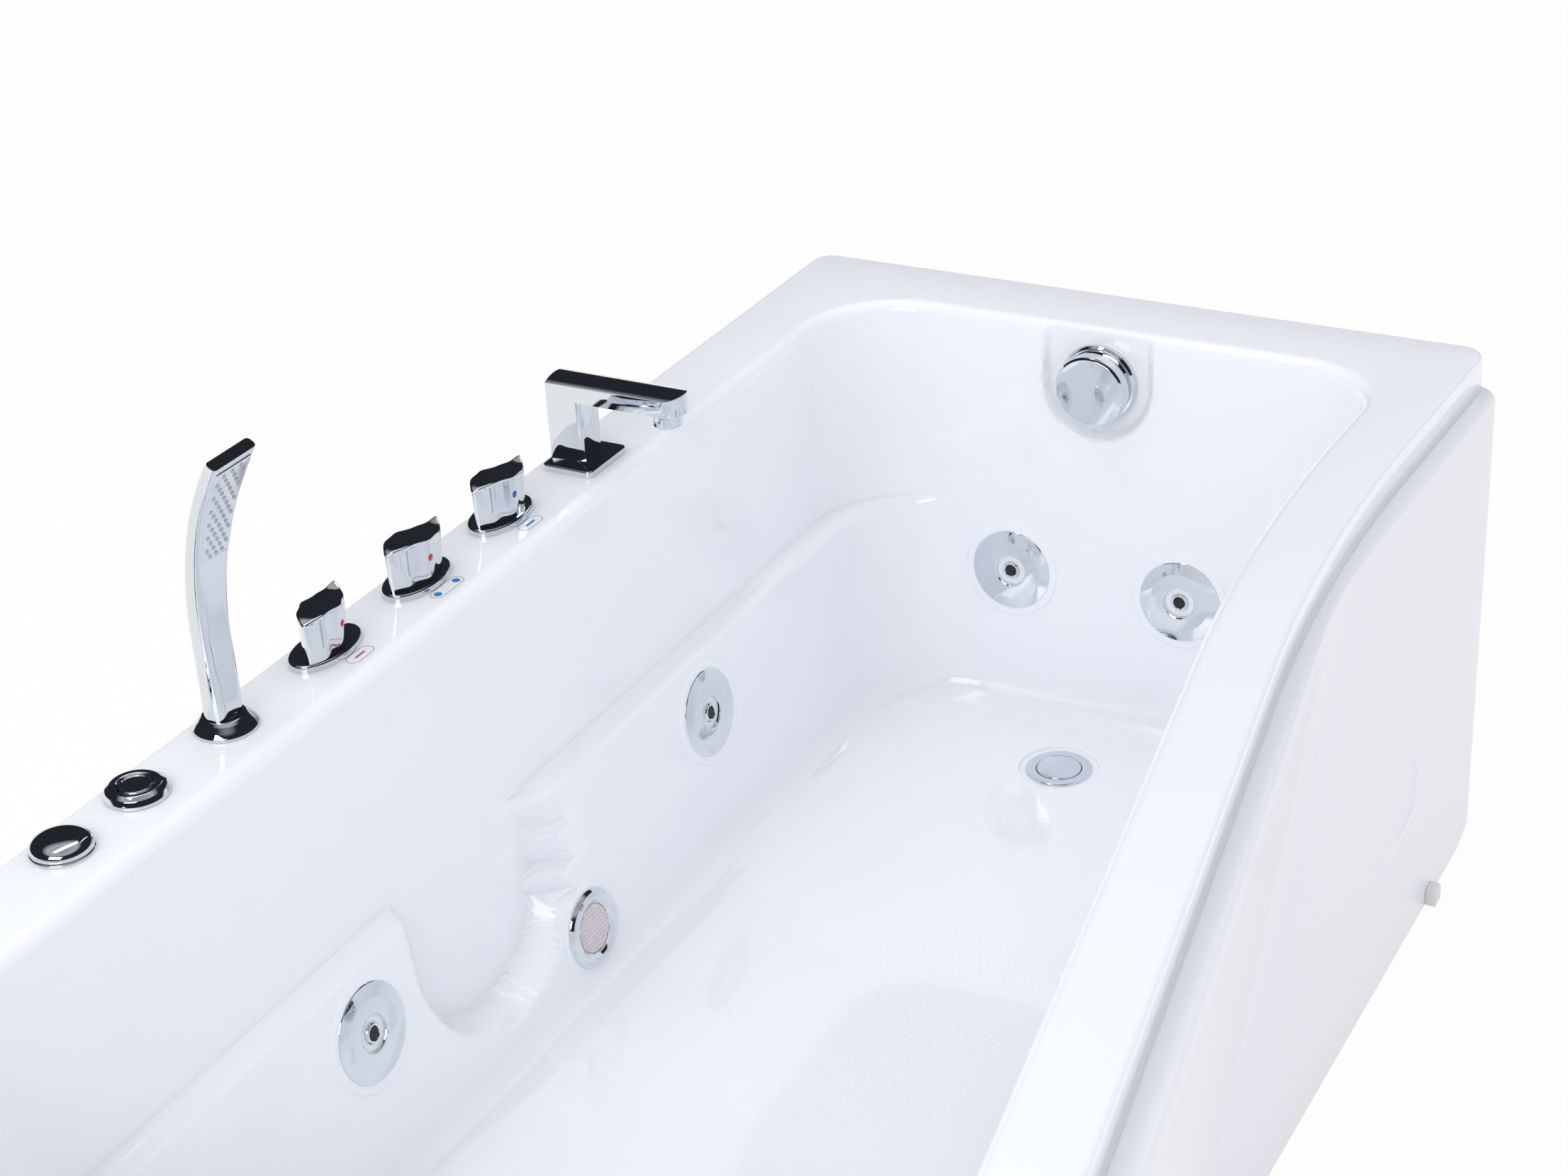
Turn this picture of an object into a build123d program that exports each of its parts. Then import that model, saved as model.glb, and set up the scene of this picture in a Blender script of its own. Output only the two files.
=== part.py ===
"""Corner jetted bathtub: acrylic shell, front panel, deck taps, water jets and running gear.

Millimetres, +Z up, +X towards the drain end, +Y towards the wall behind the tap deck.
Shapes are drawn from the rim's rear corner at the drain end, on the floor, and moved on
export so that the origin lies on the floor under the middle of the outer box.
"""
import os
from math import asin, cos, degrees, hypot, pi, radians, sin

from build123d import *

# Whole tub
RIM_LENGTH = 1830.0
DRAIN_END_WIDTH = 800.0
HEAD_END_WIDTH = 1004.6
FRONT_BEND_X = 500.0
FRONT_BEND_Y = 784.0
RIM_HEIGHT = 590.0
RIM_LIP = 42.0
SHELL_WALL = 6.0
CLEAR = 0.3

# Plan radii of the rim and of the basin's mouth and floor
RIM_CORNER = 26.0
HEAD_CORNER = 110.0
BEND_RADIUS = 2500.0
MOUTH_CORNERS = (100.0, 90.0, BEND_RADIUS, 190.0, 170.0)
LEDGE_CORNERS = (110.0, 100.0, BEND_RADIUS, 170.0, 125.0)
FLOOR_CORNERS = (120.0, 110.0, BEND_RADIUS, 150.0, 140.0)

# Basin mouth, armrest ledge and floor, as distances from the rim's outer edges
END_DECK = 104.0
REAR_DECK = 92.0
FRONT_DECK = 74.0
HEAD_DECK = 90.0
LEDGE_HEIGHT = 360.0
LEDGE_ROLL = 16.0
LEDGE_WIDTH = 22.0
WALL_DRAFT = 10.0
FLOOR_HEIGHT = 118.0
FLOOR_FAR_INSET = 140.0
FLOOR_REAR_INSET = 162.0
FLOOR_FRONT_Y = 648.0
FLOOR_HEAD_X = 1300.0
BACKREST_FOLD = 210.0
FLOOR_ROUND = 34.0
MOUTH_ROUND = 13.0
ROUND_STEPS = 4
RIM_EDGE_FILLET = 7.0
SEAT_RAMP_X = 955.0
SEAT_RAMP_RISE = 24.0

# Elbow scoop in the rear armrest
SCOOP_FAR_X = 853.0
SCOOP_HEAD_X = 1081.0
SCOOP_BOTTOM = 178.0
SCOOP_STEP = 0.3

# Front panel
PANEL_TOP = RIM_HEIGHT - RIM_LIP - CLEAR
PANEL_WALL = 4.0
PANEL_PROUD_DRAIN = 17.0
PANEL_PROUD_BEND = 20.0
PANEL_PROUD_HEAD = 31.0
PANEL_FOOT_BEND_X = 935.0
PANEL_FOOT_HEAD_OUT = 150.0
PANEL_CORNER = 30.0
PANEL_BENDS = (900.0, 60.0)
PANEL_RETURN = 62.0
PANEL_TOP_FLANGE = 46.0
PANEL_EDGE_FILLET = 8.0
RIB_WIDTH = 15.0
RIB_PROUD = 3.0
CLIP_SIZE = 20.0
CLIP_DEPTH = 12.0
CLIP_X = 176.0

# Deck fittings
DECK_LINE = 35.0
DECK_PITCH = 144.0
SPOUT_X = 603.0
KNOB_XS = tuple(SPOUT_X + DECK_PITCH * step for step in (1, 2, 3))
SHOWER_X = SPOUT_X + DECK_PITCH * 4
AIR_BUTTON_X = 1298.0
AIR_CONTROL_X = 1391.0
PLATE_LENGTH = 88.0
PLATE_WIDTH = 51.0
PLATE_THICK = 7.0
PLATE_EDGE = 2.0
KNOB_GAP = 0.5
KNOB_RADIUS = 22.0
KNOB_LIP = 55.0
KNOB_MIDDLE = 42.0
KNOB_TAIL = 27.0
KNOB_FLUTES = 10
KNOB_FLUTE = 7.0
KNOB_FLUTE_DEPTH = 1.3
KNOB_REST_TURN = 17.0
STEM_RADIUS = 5.0
STEM_TOP = 22.0
FIT = 0.05
MARK_RADIUS = 3.6
MARK_HEIGHT = 23.0
MARK_DEPTH = 3.0
VALVE_RADIUS = 17.0
VALVE_DROP = 62.0
VALVE_NECK = 11.0
INLET_RADIUS = 10.4775
INLET_LENGTH = 16.0
NUT_ACROSS = 34.0
NUT_THICK = 8.0
MIX_PIPE = 7.0
MIX_HEIGHT = 548.0
UNDER_DECK = SHELL_WALL + NUT_THICK + CLEAR

# Spout
SPOUT_PLATE = (72.0, 58.0, 7.0)
SPOUT_PLATE_Y = -8.0
SPOUT_BACK = 19.0
SPOUT_SECTION = 38.0
SPOUT_RISE = 90.0
SPOUT_REACH = 151.0
SPOUT_ARM = 17.0
SPOUT_CROWN = 4.0
AERATOR_RADIUS = 15.0
AERATOR_DROP = 15.0

# Hand shower
COLLAR_RADIUS = 29.0
COLLAR_HEIGHT = 14.0
COLLAR_SHANK = 13.5
PLUG_RADIUS = 11.0
PLUG_DEPTH = 26.0
SHOWER_HEIGHT = 268.0
SHOWER_BEND_START = 88.0
SHOWER_LEAN = 53.0
SHOWER_FOOT = (36.0, 24.0)
SHOWER_WAIST = (38.0, 20.0)
SHOWER_HEAD = (58.0, 12.0)
SPRAY_LENGTH = 92.0
SPRAY_THICK = 1.6

# Air button and air control
BUTTON_RING = 28.0
BUTTON_RING_HEIGHT = 11.0
BUTTON_RADIUS = 15.0
BUTTON_TRAVEL = 3.0
AIR_DOME_RADIUS = 27.0
AIR_DOME_HEIGHT = 13.0
AIR_BASE_HEIGHT = 3.0

# Jets: place along each wall and height above the floor
JET_HEIGHT = 286.0
REAR_JETS_X = (549.0, 1166.0)
FAR_JETS_Y = (298.0, 504.0)
FRONT_JETS_X = (549.0, 1130.0)
JET_DISC = 48.0
JET_SEAT = 57.0
SEAT_DEPTH = 1.2
JET_THICK = 5.0
JET_RECESS = 18.0
JET_BALL = 12.0
JET_HOLE = 5.0
JET_NECK = 21.0
JET_BODY = 30.0

# Light and suction
LIGHT_X = 828.0
LIGHT_HEIGHT = 190.0
LIGHT_BEZEL = 41.0
LIGHT_LENS = 25.0
LIGHT_TAIL = 28.0
SUCTION_X = 850.0
SUCTION_HEIGHT = 228.0
SUCTION_RADIUS = 55.0
SUCTION_NECK = 30.0
SUCTION_SLOTS = 12

# Overflow and drain
OVERFLOW_Y = 396.0
OVERFLOW_HEIGHT = 526.0
OVERFLOW_RECESS = 124.0
OVERFLOW_BACK = 100.0
OVERFLOW_FLANGE = 45.0
OVERFLOW_KNOB = 41.0
OVERFLOW_KNOB_DEPTH = 22.0
OVERFLOW_NECK = 20.0
OVERFLOW_HUB = 9.0
OVERFLOW_PIPE_X = 26.0
OVERFLOW_PLANE = Plane(origin=(-OVERFLOW_BACK, -OVERFLOW_Y, OVERFLOW_HEIGHT), x_dir=(0, 1, 0),
                       z_dir=(-1, 0, 0))
DRAIN_X = 254.0
DRAIN_Y = 410.0
DRAIN_FLANGE = 37.5
DRAIN_CAP = 25.0
DRAIN_DISH = 45.0
DRAIN_TOP = 115.0
DRAIN_BOSS = 49.0
DRAIN_UNDER = 106.0
DRAIN_TAIL = 27.0
DRAIN_STEM = 4.0
TRAP_RADIUS = 34.0
WASTE_RADIUS = 20.0
WASTE_HEIGHT = 42.0
WASTE_OUT = 40.0
SPIGOT = 50.0

# Undercarriage
BOARD_THICK = 18.0
RAIL = 30.0
RAIL_WALL = 2.0
RAIL_Y = (255.0, 545.0)
RAIL_X = (125.0, 1790.0)
CROSS_X = (345.0, 1000.0, 1680.0)
CROSS_Y = (110.0, 690.0)
CROSS_HEIGHT = 34.0
RAIL_HEIGHT = CROSS_HEIGHT + RAIL
FOOT_Y = (140.0, 660.0)
FOOT_RADIUS = 25.0
FOOT_STEM = 6.0

# Pump and pipes
PUMP_X = 1500.0
PUMP_Y = 430.0
PUMP_HEIGHT = 166.0
WET_END_RADIUS = 66.0
WET_END_LENGTH = 62.0
MOTOR_RADIUS = 58.0
MOTOR_LENGTH = 190.0
MOTOR_FINS = 20
CONTROL_X = CROSS_X[-1]
CONTROL_Y = 175.0
CONTROL_SIZE = (150.0, 100.0, 60.0)
RING_RADIUS = 16.0
RING_OFFSET = 56.0
SUCTION_OFFSET = 66.0
AIR_RING_HEIGHT = 321.0
AIR_VALVE_DROP = 70.0
SUCTION_TURN = 53.0
AIR_PIPE_RADIUS = 8.0
SUCTION_PIPE_RADIUS = 22.0
PIPE_WALL = 2.5


def shift_edges(points, moves):
    """Move each edge of a closed outline inwards by its own distance."""
    count = len(points)
    area = sum(points[i][0] * points[(i + 1) % count][1] - points[(i + 1) % count][0] * points[i][1]
               for i in range(count))
    side = 1.0 if area > 0 else -1.0
    lines = []
    for i, move in enumerate(moves):
        (xa, ya), (xb, yb) = points[i], points[(i + 1) % count]
        length = hypot(xb - xa, yb - ya)
        nx, ny = -(yb - ya) / length * side, (xb - xa) / length * side
        lines.append((nx, ny, nx * xa + ny * ya + move))
    corners = []
    for i in range(count):
        (a, b, c), (d, e, f) = lines[i - 1], lines[i]
        det = a * e - b * d
        corners.append(((c * e - b * f) / det, (a * f - c * d) / det))
    return corners


def outline(points, radii, height):
    """A flat face with rounded corners at one height."""
    ring = FilletPolyline(*points, radius=radii, close=True)
    return Pos(0, 0, height) * make_face(ring)


# Plan outlines run: drain-end rear, drain-end front, front bend, head-end front, head-end rear
RIM_POINTS = [(0, 0), (0, -DRAIN_END_WIDTH), (-FRONT_BEND_X, -FRONT_BEND_Y),
              (-RIM_LENGTH, -HEAD_END_WIDTH), (-RIM_LENGTH, 0)]
RIM_RADII = (RIM_CORNER, RIM_CORNER, BEND_RADIUS, HEAD_CORNER, RIM_CORNER)


def backrest_x(height):
    """The backrest's distance from the drain end above the fold at the armrest's height."""
    fold = RIM_LENGTH - BACKREST_FOLD
    share = (height - LEDGE_HEIGHT) / (RIM_HEIGHT - LEDGE_HEIGHT)
    return fold + (BACKREST_FOLD - HEAD_DECK) * share


def basin_points(height, inwards=0.0, extra=0.0):
    """The basin's outline above the ledge, or at the ledge moved inwards on the long sides."""
    drop = (RIM_HEIGHT - height) / (RIM_HEIGHT - LEDGE_HEIGHT) * WALL_DRAFT
    head = RIM_LENGTH - backrest_x(height)
    moves = (END_DECK + 1.8 * drop, FRONT_DECK + drop + inwards, FRONT_DECK + drop + inwards,
             head, REAR_DECK + drop + inwards)
    return shift_edges(RIM_POINTS, [m + extra for m in moves])


FLOOR_POINTS = [(-FLOOR_FAR_INSET, -FLOOR_REAR_INSET), (-FLOOR_FAR_INSET, -FLOOR_FRONT_Y),
                (-FRONT_BEND_X, -FLOOR_FRONT_Y + 1.0), (-FLOOR_HEAD_X, -FLOOR_FRONT_Y - 6.0),
                (-FLOOR_HEAD_X, -FLOOR_REAR_INSET)]


def lower_section(height, extra, wall):
    """The basin below the ledge, between the floor's outline and the ledge's."""
    share = (height - FLOOR_HEIGHT) / (LEDGE_HEIGHT - LEDGE_ROLL - FLOOR_HEIGHT)
    ledge = basin_points(LEDGE_HEIGHT - LEDGE_ROLL, LEDGE_WIDTH)
    points = [(f[0] + (e[0] - f[0]) * share, f[1] + (e[1] - f[1]) * share)
              for f, e in zip(FLOOR_POINTS, ledge)]
    radii = [f + (e - f) * share - extra + wall for f, e in zip(FLOOR_CORNERS, LEDGE_CORNERS)]
    return outline(shift_edges(points, [extra - wall] * len(points)), radii, height - wall)


def basin_solid(wall):
    """The hollow of the basin, or with a wall the shell's outer body round it."""
    sections = []
    for step in range(ROUND_STEPS + 1):
        turn = pi / 2 * step / ROUND_STEPS
        sections.append(lower_section(FLOOR_HEIGHT + FLOOR_ROUND * (1 - cos(turn)),
                                      FLOOR_ROUND * (1 - sin(turn)), wall))
    for step in range(ROUND_STEPS + 1):
        turn = pi / 2 * step / ROUND_STEPS
        height = LEDGE_HEIGHT - LEDGE_ROLL * (1 - sin(turn))
        points = basin_points(height, LEDGE_WIDTH * cos(turn), -wall)
        sections.append(outline(points, [r + wall for r in LEDGE_CORNERS], height - wall))
    if wall:
        top = RIM_HEIGHT - wall / 2
        sections.append(outline(basin_points(RIM_HEIGHT, 0, -wall),
                                [r + wall for r in MOUTH_CORNERS], top))
        return loft(sections, ruled=True)
    for step in range(ROUND_STEPS + 1):
        turn = pi / 2 * step / ROUND_STEPS
        height = RIM_HEIGHT - MOUTH_ROUND * (1 - sin(turn))
        flare = MOUTH_ROUND * (1 - cos(turn))
        sections.append(outline(basin_points(height, 0, -flare),
                                [r + flare for r in MOUTH_CORNERS], height))
    return loft(sections, ruled=True)


def bowl(half, tall):
    """A U-shaped face: a half circle with straight sides going up from it."""
    round_part = Circle(half) & Pos(0, -half) * Rectangle(2 * half, 2 * half)
    return round_part + Pos(0, tall / 2) * Rectangle(2 * half, tall)


def scoop_solid(wall):
    """The U-shaped elbow scoop cut into the rear armrest."""
    half = (SCOOP_HEAD_X - SCOOP_FAR_X) / 2 + wall
    middle = -(SCOOP_HEAD_X + SCOOP_FAR_X) / 2
    lean = WALL_DRAFT / (RIM_HEIGHT - LEDGE_HEIGHT)
    centre = SCOOP_BOTTOM - wall + half
    back = -(REAR_DECK + lean * (RIM_HEIGHT - centre) + SCOOP_STEP - wall)
    plane = Plane(origin=(middle, back, centre), x_dir=(1, 0, 0), z_dir=(0, -1, lean))
    shape = bowl(half, LEDGE_HEIGHT - centre)
    return extrude(plane * shape, amount=FLOOR_REAR_INSET - REAR_DECK)


def overflow_recess(wall):
    """The U-shaped recess in the drain-end wall that seats the overflow."""
    half = OVERFLOW_RECESS / 2 + wall
    tall = RIM_HEIGHT - wall / 2 - OVERFLOW_HEIGHT
    plane = Plane(origin=(-OVERFLOW_BACK + wall, -OVERFLOW_Y, OVERFLOW_HEIGHT),
                  x_dir=(0, -1, 0), z_dir=(-1, 0, 0))
    return extrude(plane * bowl(half, tall), amount=26.0)


INNER_BASIN = basin_solid(0.0)
OUTER_BASIN = basin_solid(SHELL_WALL)


def wall_seat(point, aim):
    """The plane of the basin wall that a line from a point inside meets, facing inwards."""
    line = Axis(point, aim)
    hits = []
    for face in INNER_BASIN.faces():
        for spot, normal in face.find_intersection_points(line):
            reach = (spot - Vector(*point)).dot(Vector(*aim))
            if reach > 0:
                hits.append((reach, spot, normal))
    reach, spot, normal = min(hits, key=lambda hit: hit[0])
    if normal.dot(Vector(*aim)) > 0:
        normal = -normal
    sideways = Vector(0, 0, 1).cross(normal)
    return Plane(origin=spot - normal * SEAT_DEPTH, x_dir=sideways, z_dir=normal)


def behind(plane, distance):
    """A point behind a seat plane, on its axis."""
    return plane.origin - plane.z_dir * distance


JET_SEATS = (
    [wall_seat((-x, -400, JET_HEIGHT), (0, 1, 0)) for x in REAR_JETS_X]
    + [wall_seat((-400, -y, JET_HEIGHT), (1, 0, 0)) for y in FAR_JETS_Y]
    + [wall_seat((-x, -400, JET_HEIGHT), (0, -1, 0)) for x in FRONT_JETS_X])
JET_NAMES = ("rear_drain_side", "rear_head_side", "end_rear_side", "end_front_side",
             "front_drain_side", "front_head_side")
LIGHT_SEAT = wall_seat((-LIGHT_X, -400, LIGHT_HEIGHT), (0, 1, 0))
SUCTION_SEAT = wall_seat((-SUCTION_X, -400, SUCTION_HEIGHT), (0, -1, 0))


def revolved(points):
    """A solid turned about Z from a closed profile of radius and height."""
    profile = make_face(Polyline(*[(r, 0, z) for r, z in points], close=True))
    return revolve(profile, Axis.Z, 360)


def rod(radius, low, high):
    """A straight round bar along Z."""
    return Pos(0, 0, low) * extrude(Circle(radius), amount=high - low)


def hex_nut(across, bore, low, high):
    """A hexagon nut along Z."""
    flats = RegularPolygon(across / 2, 6, major_radius=False) - Circle(bore)
    return Pos(0, 0, low) * extrude(flats, amount=high - low)


def pipe(points, radius, bend, wall=0.0):
    """A round pipe along straight runs joined by bends, or without a wall the space it fills."""
    path = FilletPolyline(*points, radius=bend)
    start = Plane(origin=path @ 0, z_dir=path % 0)
    run = sweep(start * Circle(radius), path=path)
    if wall:
        run -= sweep(start * Circle(radius - wall), path=path)
    return run


# Tub shell

def rim_solid():
    """The rim's flat top with its turned-down lip."""
    foot = RIM_HEIGHT - RIM_LIP
    block = extrude(outline(RIM_POINTS, RIM_RADII, foot), amount=RIM_LIP)
    block = fillet(block.faces().sort_by(Axis.Z)[-1].edges(), RIM_EDGE_FILLET)
    inner = outline(shift_edges(RIM_POINTS, [SHELL_WALL] * 5),
                    [r - SHELL_WALL for r in RIM_RADII], foot)
    return block - extrude(inner, amount=RIM_LIP - SHELL_WALL)


def seat_ramp():
    """The slight rise of the floor towards the backrest."""
    end = FLOOR_HEAD_X + 60.0
    wedge = make_face(Polyline((-SEAT_RAMP_X, 0, FLOOR_HEIGHT - 1), (-end, 0, FLOOR_HEIGHT - 1),
                               (-end, 0, FLOOR_HEIGHT + SEAT_RAMP_RISE),
                               (-SEAT_RAMP_X, 0, FLOOR_HEIGHT), close=True))
    return extrude(wedge, amount=DRAIN_END_WIDTH, dir=(0, -1, 0)) & INNER_BASIN


def deck_holes():
    """Holes through the rear deck for the taps and the controls."""
    low = RIM_HEIGHT - 2 * SHELL_WALL
    holes = [Pos(-x, -DECK_LINE, 0) * rod(VALVE_NECK + CLEAR, low, RIM_HEIGHT + 1)
             for x in KNOB_XS + (SPOUT_X, AIR_BUTTON_X, AIR_CONTROL_X)]
    return holes + [Pos(-SHOWER_X, -DECK_LINE, 0) * rod(COLLAR_SHANK + CLEAR, low, RIM_HEIGHT + 1)]


def tub_shell():
    """The acrylic shell: rim, basin, armrest, recesses, fitting seats and holes."""
    shell = rim_solid() + OUTER_BASIN + scoop_solid(SHELL_WALL) + overflow_recess(SHELL_WALL)
    shell += Pos(-DRAIN_X, -DRAIN_Y, 0) * rod(DRAIN_BOSS, DRAIN_UNDER, FLOOR_HEIGHT)
    shell -= INNER_BASIN
    shell += seat_ramp()
    shell -= scoop_solid(0.0)
    shell -= overflow_recess(0.0)
    for plane in JET_SEATS:
        shell -= plane.location * rod(JET_SEAT, 0, 30)
        shell -= plane.location * rod(JET_NECK + 1.0, -20, 5)
    shell -= LIGHT_SEAT.location * (rod(LIGHT_BEZEL + 5, 0, 30) + rod(LIGHT_TAIL + 1.0, -20, 5))
    shell -= SUCTION_SEAT.location * (rod(SUCTION_RADIUS + 5, 0, 30) + rod(SUCTION_NECK + 1.0, -20, 5))
    shell -= OVERFLOW_PLANE.location * rod(OVERFLOW_NECK + 1.0, -30, 5)
    shell -= Pos(-DRAIN_X, -DRAIN_Y, 0) * (rod(DRAIN_DISH, DRAIN_TOP, FLOOR_HEIGHT + 5)
                                           + rod(DRAIN_TAIL + 1.0, 80, FLOOR_HEIGHT))
    for hole in deck_holes():
        shell -= hole
    return shell


# Front panel

def panel_points(height, inset, back):
    """The panel's plan outline at one height, inset by the wall, its back on one line."""
    share = 1.0 - height / PANEL_TOP
    bend_x = FRONT_BEND_X + (PANEL_FOOT_BEND_X - FRONT_BEND_X) * share
    drain_y = DRAIN_END_WIDTH + PANEL_PROUD_DRAIN
    bend_y = FRONT_BEND_Y + PANEL_PROUD_BEND + (drain_y - FRONT_BEND_Y - PANEL_PROUD_BEND) * share
    head_top = HEAD_END_WIDTH + PANEL_PROUD_HEAD
    head_foot = drain_y + PANEL_FOOT_HEAD_OUT
    head_y = head_top + (head_foot - head_top) * share
    points = [(0, -back), (0, -drain_y), (-bend_x, -bend_y), (-RIM_LENGTH, -head_y),
              (-RIM_LENGTH, -back)]
    return shift_edges(points, [inset, inset, inset, inset, 0.0])


def panel_section(height, inset, back):
    """The panel's outline at one height; the bend is softer at the top than at the foot."""
    share = 1.0 - height / PANEL_TOP
    bend = PANEL_BENDS[0] + (PANEL_BENDS[1] - PANEL_BENDS[0]) * share
    radii = [0.1, max(PANEL_CORNER - inset, 2.0), bend, HEAD_CORNER - inset, 0.1]
    return outline(panel_points(height, inset, back), radii, height)


def panel_block(low, high, inset, back):
    """A solid between two of the panel's outlines."""
    return loft([panel_section(z, inset, back) for z in (low, high)], ruled=True)


def rib_path():
    """The line of the curved rib pressed into the panel near the drain end."""
    front = -(DRAIN_END_WIDTH + PANEL_PROUD_DRAIN)
    return FilletPolyline((-262, front, 247), (-224, front, 156), (-388, front, 151), radius=52)


def front_panel():
    """The acrylic skirt: flat by the drain, flared along the wider head end, with end returns."""
    skin = DRAIN_END_WIDTH - PANEL_RETURN
    panel = panel_block(0, PANEL_TOP, 0.0, skin)
    panel = fillet(panel.faces().sort_by(Axis.Z)[-1].edges().filter_by(
        lambda edge: edge.center().Y < -DRAIN_END_WIDTH + 5), PANEL_EDGE_FILLET)
    flange_back = panel_block(PANEL_TOP - 60, PANEL_TOP + 10, PANEL_TOP_FLANGE, skin - 300)
    inside = panel_block(-10, PANEL_TOP - PANEL_WALL, PANEL_WALL, skin - 300)
    panel = panel - inside - flange_back
    path = rib_path()
    start = Plane(origin=path @ 0, z_dir=path % 0)
    rib = sweep(start * Ellipse(RIB_PROUD, RIB_WIDTH / 2), path=path)
    return panel + rib


def panel_clip():
    """The small clip that holds the panel's foot to the floor."""
    front = -(DRAIN_END_WIDTH + PANEL_PROUD_DRAIN)
    clip = Box(CLIP_SIZE, CLIP_DEPTH, CLIP_SIZE, align=(Align.CENTER, Align.MAX, Align.MIN))
    clip = fillet(clip.edges().filter_by(Axis.X).group_by(Axis.Y)[0].sort_by(Axis.Z)[-1], CLIP_DEPTH / 2)
    return Pos(-CLIP_X, front, 0) * clip


# Deck taps

def at_deck(x):
    """The place of a deck fitting, on the rim's top face."""
    return Pos(-x, -DECK_LINE, RIM_HEIGHT)


def knob_plate():
    """An oval plate with a rounded upper edge and a hole for the valve's neck."""
    plate = extrude(Ellipse(PLATE_LENGTH / 2, PLATE_WIDTH / 2), amount=PLATE_THICK)
    plate = fillet(plate.faces().sort_by(Axis.Z)[-1].edges(), PLATE_EDGE)
    return plate - rod(VALVE_NECK + CLEAR, -1, PLATE_THICK + 1)


def knob():
    """A fluted knob under a wave-shaped top that rises to a lip at the pointer."""
    body = rod(KNOB_RADIUS, KNOB_GAP, KNOB_LIP + 1)
    flute = rod(KNOB_FLUTE, 0, KNOB_LIP + 2)
    spread = KNOB_RADIUS + KNOB_FLUTE - KNOB_FLUTE_DEPTH
    for place in PolarLocations(spread, KNOB_FLUTES, start_angle=180 / KNOB_FLUTES - 90):
        body -= place * flute
    r = KNOB_RADIUS
    wave = Spline((0, r, KNOB_TAIL), (0, 0.72 * r, KNOB_TAIL + 10.5), (0, 0.2 * r, KNOB_MIDDLE),
                  (0, -0.45 * r, KNOB_MIDDLE + 1.5), (0, -r - 0.5, KNOB_LIP))
    side = make_face(wave + Polyline((0, -r - 0.5, KNOB_LIP), (0, -r - 0.5, 0), (0, r, 0),
                                     (0, r, KNOB_TAIL)))
    body &= extrude(side, amount=KNOB_RADIUS + 2, dir=(1, 0, 0), both=True)
    body -= rod(STEM_RADIUS + FIT, 0, STEM_TOP + 1.0)
    return body - Pos(0, -r, MARK_HEIGHT) * Rot(90, 0, 0) * rod(MARK_RADIUS + FIT, -MARK_DEPTH, 5)


def knob_mark():
    """The coloured button set into the knob's side under the lip."""
    return Pos(0, -KNOB_RADIUS, MARK_HEIGHT) * Rot(90, 0, 0) * rod(MARK_RADIUS, -MARK_DEPTH, 0.8)


def valve():
    """A deck valve: body under the deck, neck through it and the spindle that the knob turns on."""
    body = rod(VALVE_RADIUS, -VALVE_DROP, -SHELL_WALL - NUT_THICK - CLEAR)
    body += rod(VALVE_NECK, -SHELL_WALL - NUT_THICK - 1, PLATE_THICK - 1.0)
    body += rod(STEM_RADIUS, 0, PLATE_THICK + STEM_TOP)
    return body


def inlet(body):
    """The valve body with its supply tail pointing down."""
    return body + rod(INLET_RADIUS, -VALVE_DROP - INLET_LENGTH, -VALVE_DROP + 1)


def deck_nuts():
    """The nuts that clamp the deck fittings from below."""
    nuts = []
    for x in KNOB_XS + (SPOUT_X, AIR_BUTTON_X, AIR_CONTROL_X):
        nuts.append(at_deck(x) * hex_nut(NUT_ACROSS, VALVE_NECK + CLEAR, -SHELL_WALL - NUT_THICK,
                                         -SHELL_WALL))
    nuts.append(at_deck(SHOWER_X) * hex_nut(NUT_ACROSS, COLLAR_SHANK + CLEAR,
                                            -SHELL_WALL - NUT_THICK, -SHELL_WALL))
    return nuts


def mixing_pipes():
    """Rigid pipes from valve to valve and on to the spout's shank."""
    height = MIX_HEIGHT
    stops = [(SPOUT_X, VALVE_NECK)] + [(x, VALVE_RADIUS) for x in KNOB_XS]
    pipes = []
    for (xa, ra), (xb, rb) in zip(stops, stops[1:]):
        length = abs(xa - xb) + 2
        middle = -(xa + xb) / 2
        bar = Pos(middle, -DECK_LINE, height) * Rot(0, 90, 0) * Cylinder(MIX_PIPE, length)
        for x, r in ((xa, ra), (xb, rb)):
            bar -= Pos(-x, -DECK_LINE, 0) * rod(r + CLEAR, height - 20, height + 20)
        pipes.append(bar)
    return pipes


def spout_plate():
    """The spout's square base plate with a rounded upper edge."""
    length, width, thick = SPOUT_PLATE
    plate = extrude(RectangleRounded(length, width, 6), amount=thick)
    plate = fillet(plate.faces().sort_by(Axis.Z)[-1].edges(), 1.6)
    return Pos(0, SPOUT_PLATE_Y, 0) * plate - rod(VALVE_NECK + CLEAR, -1, thick + 1)


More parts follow.
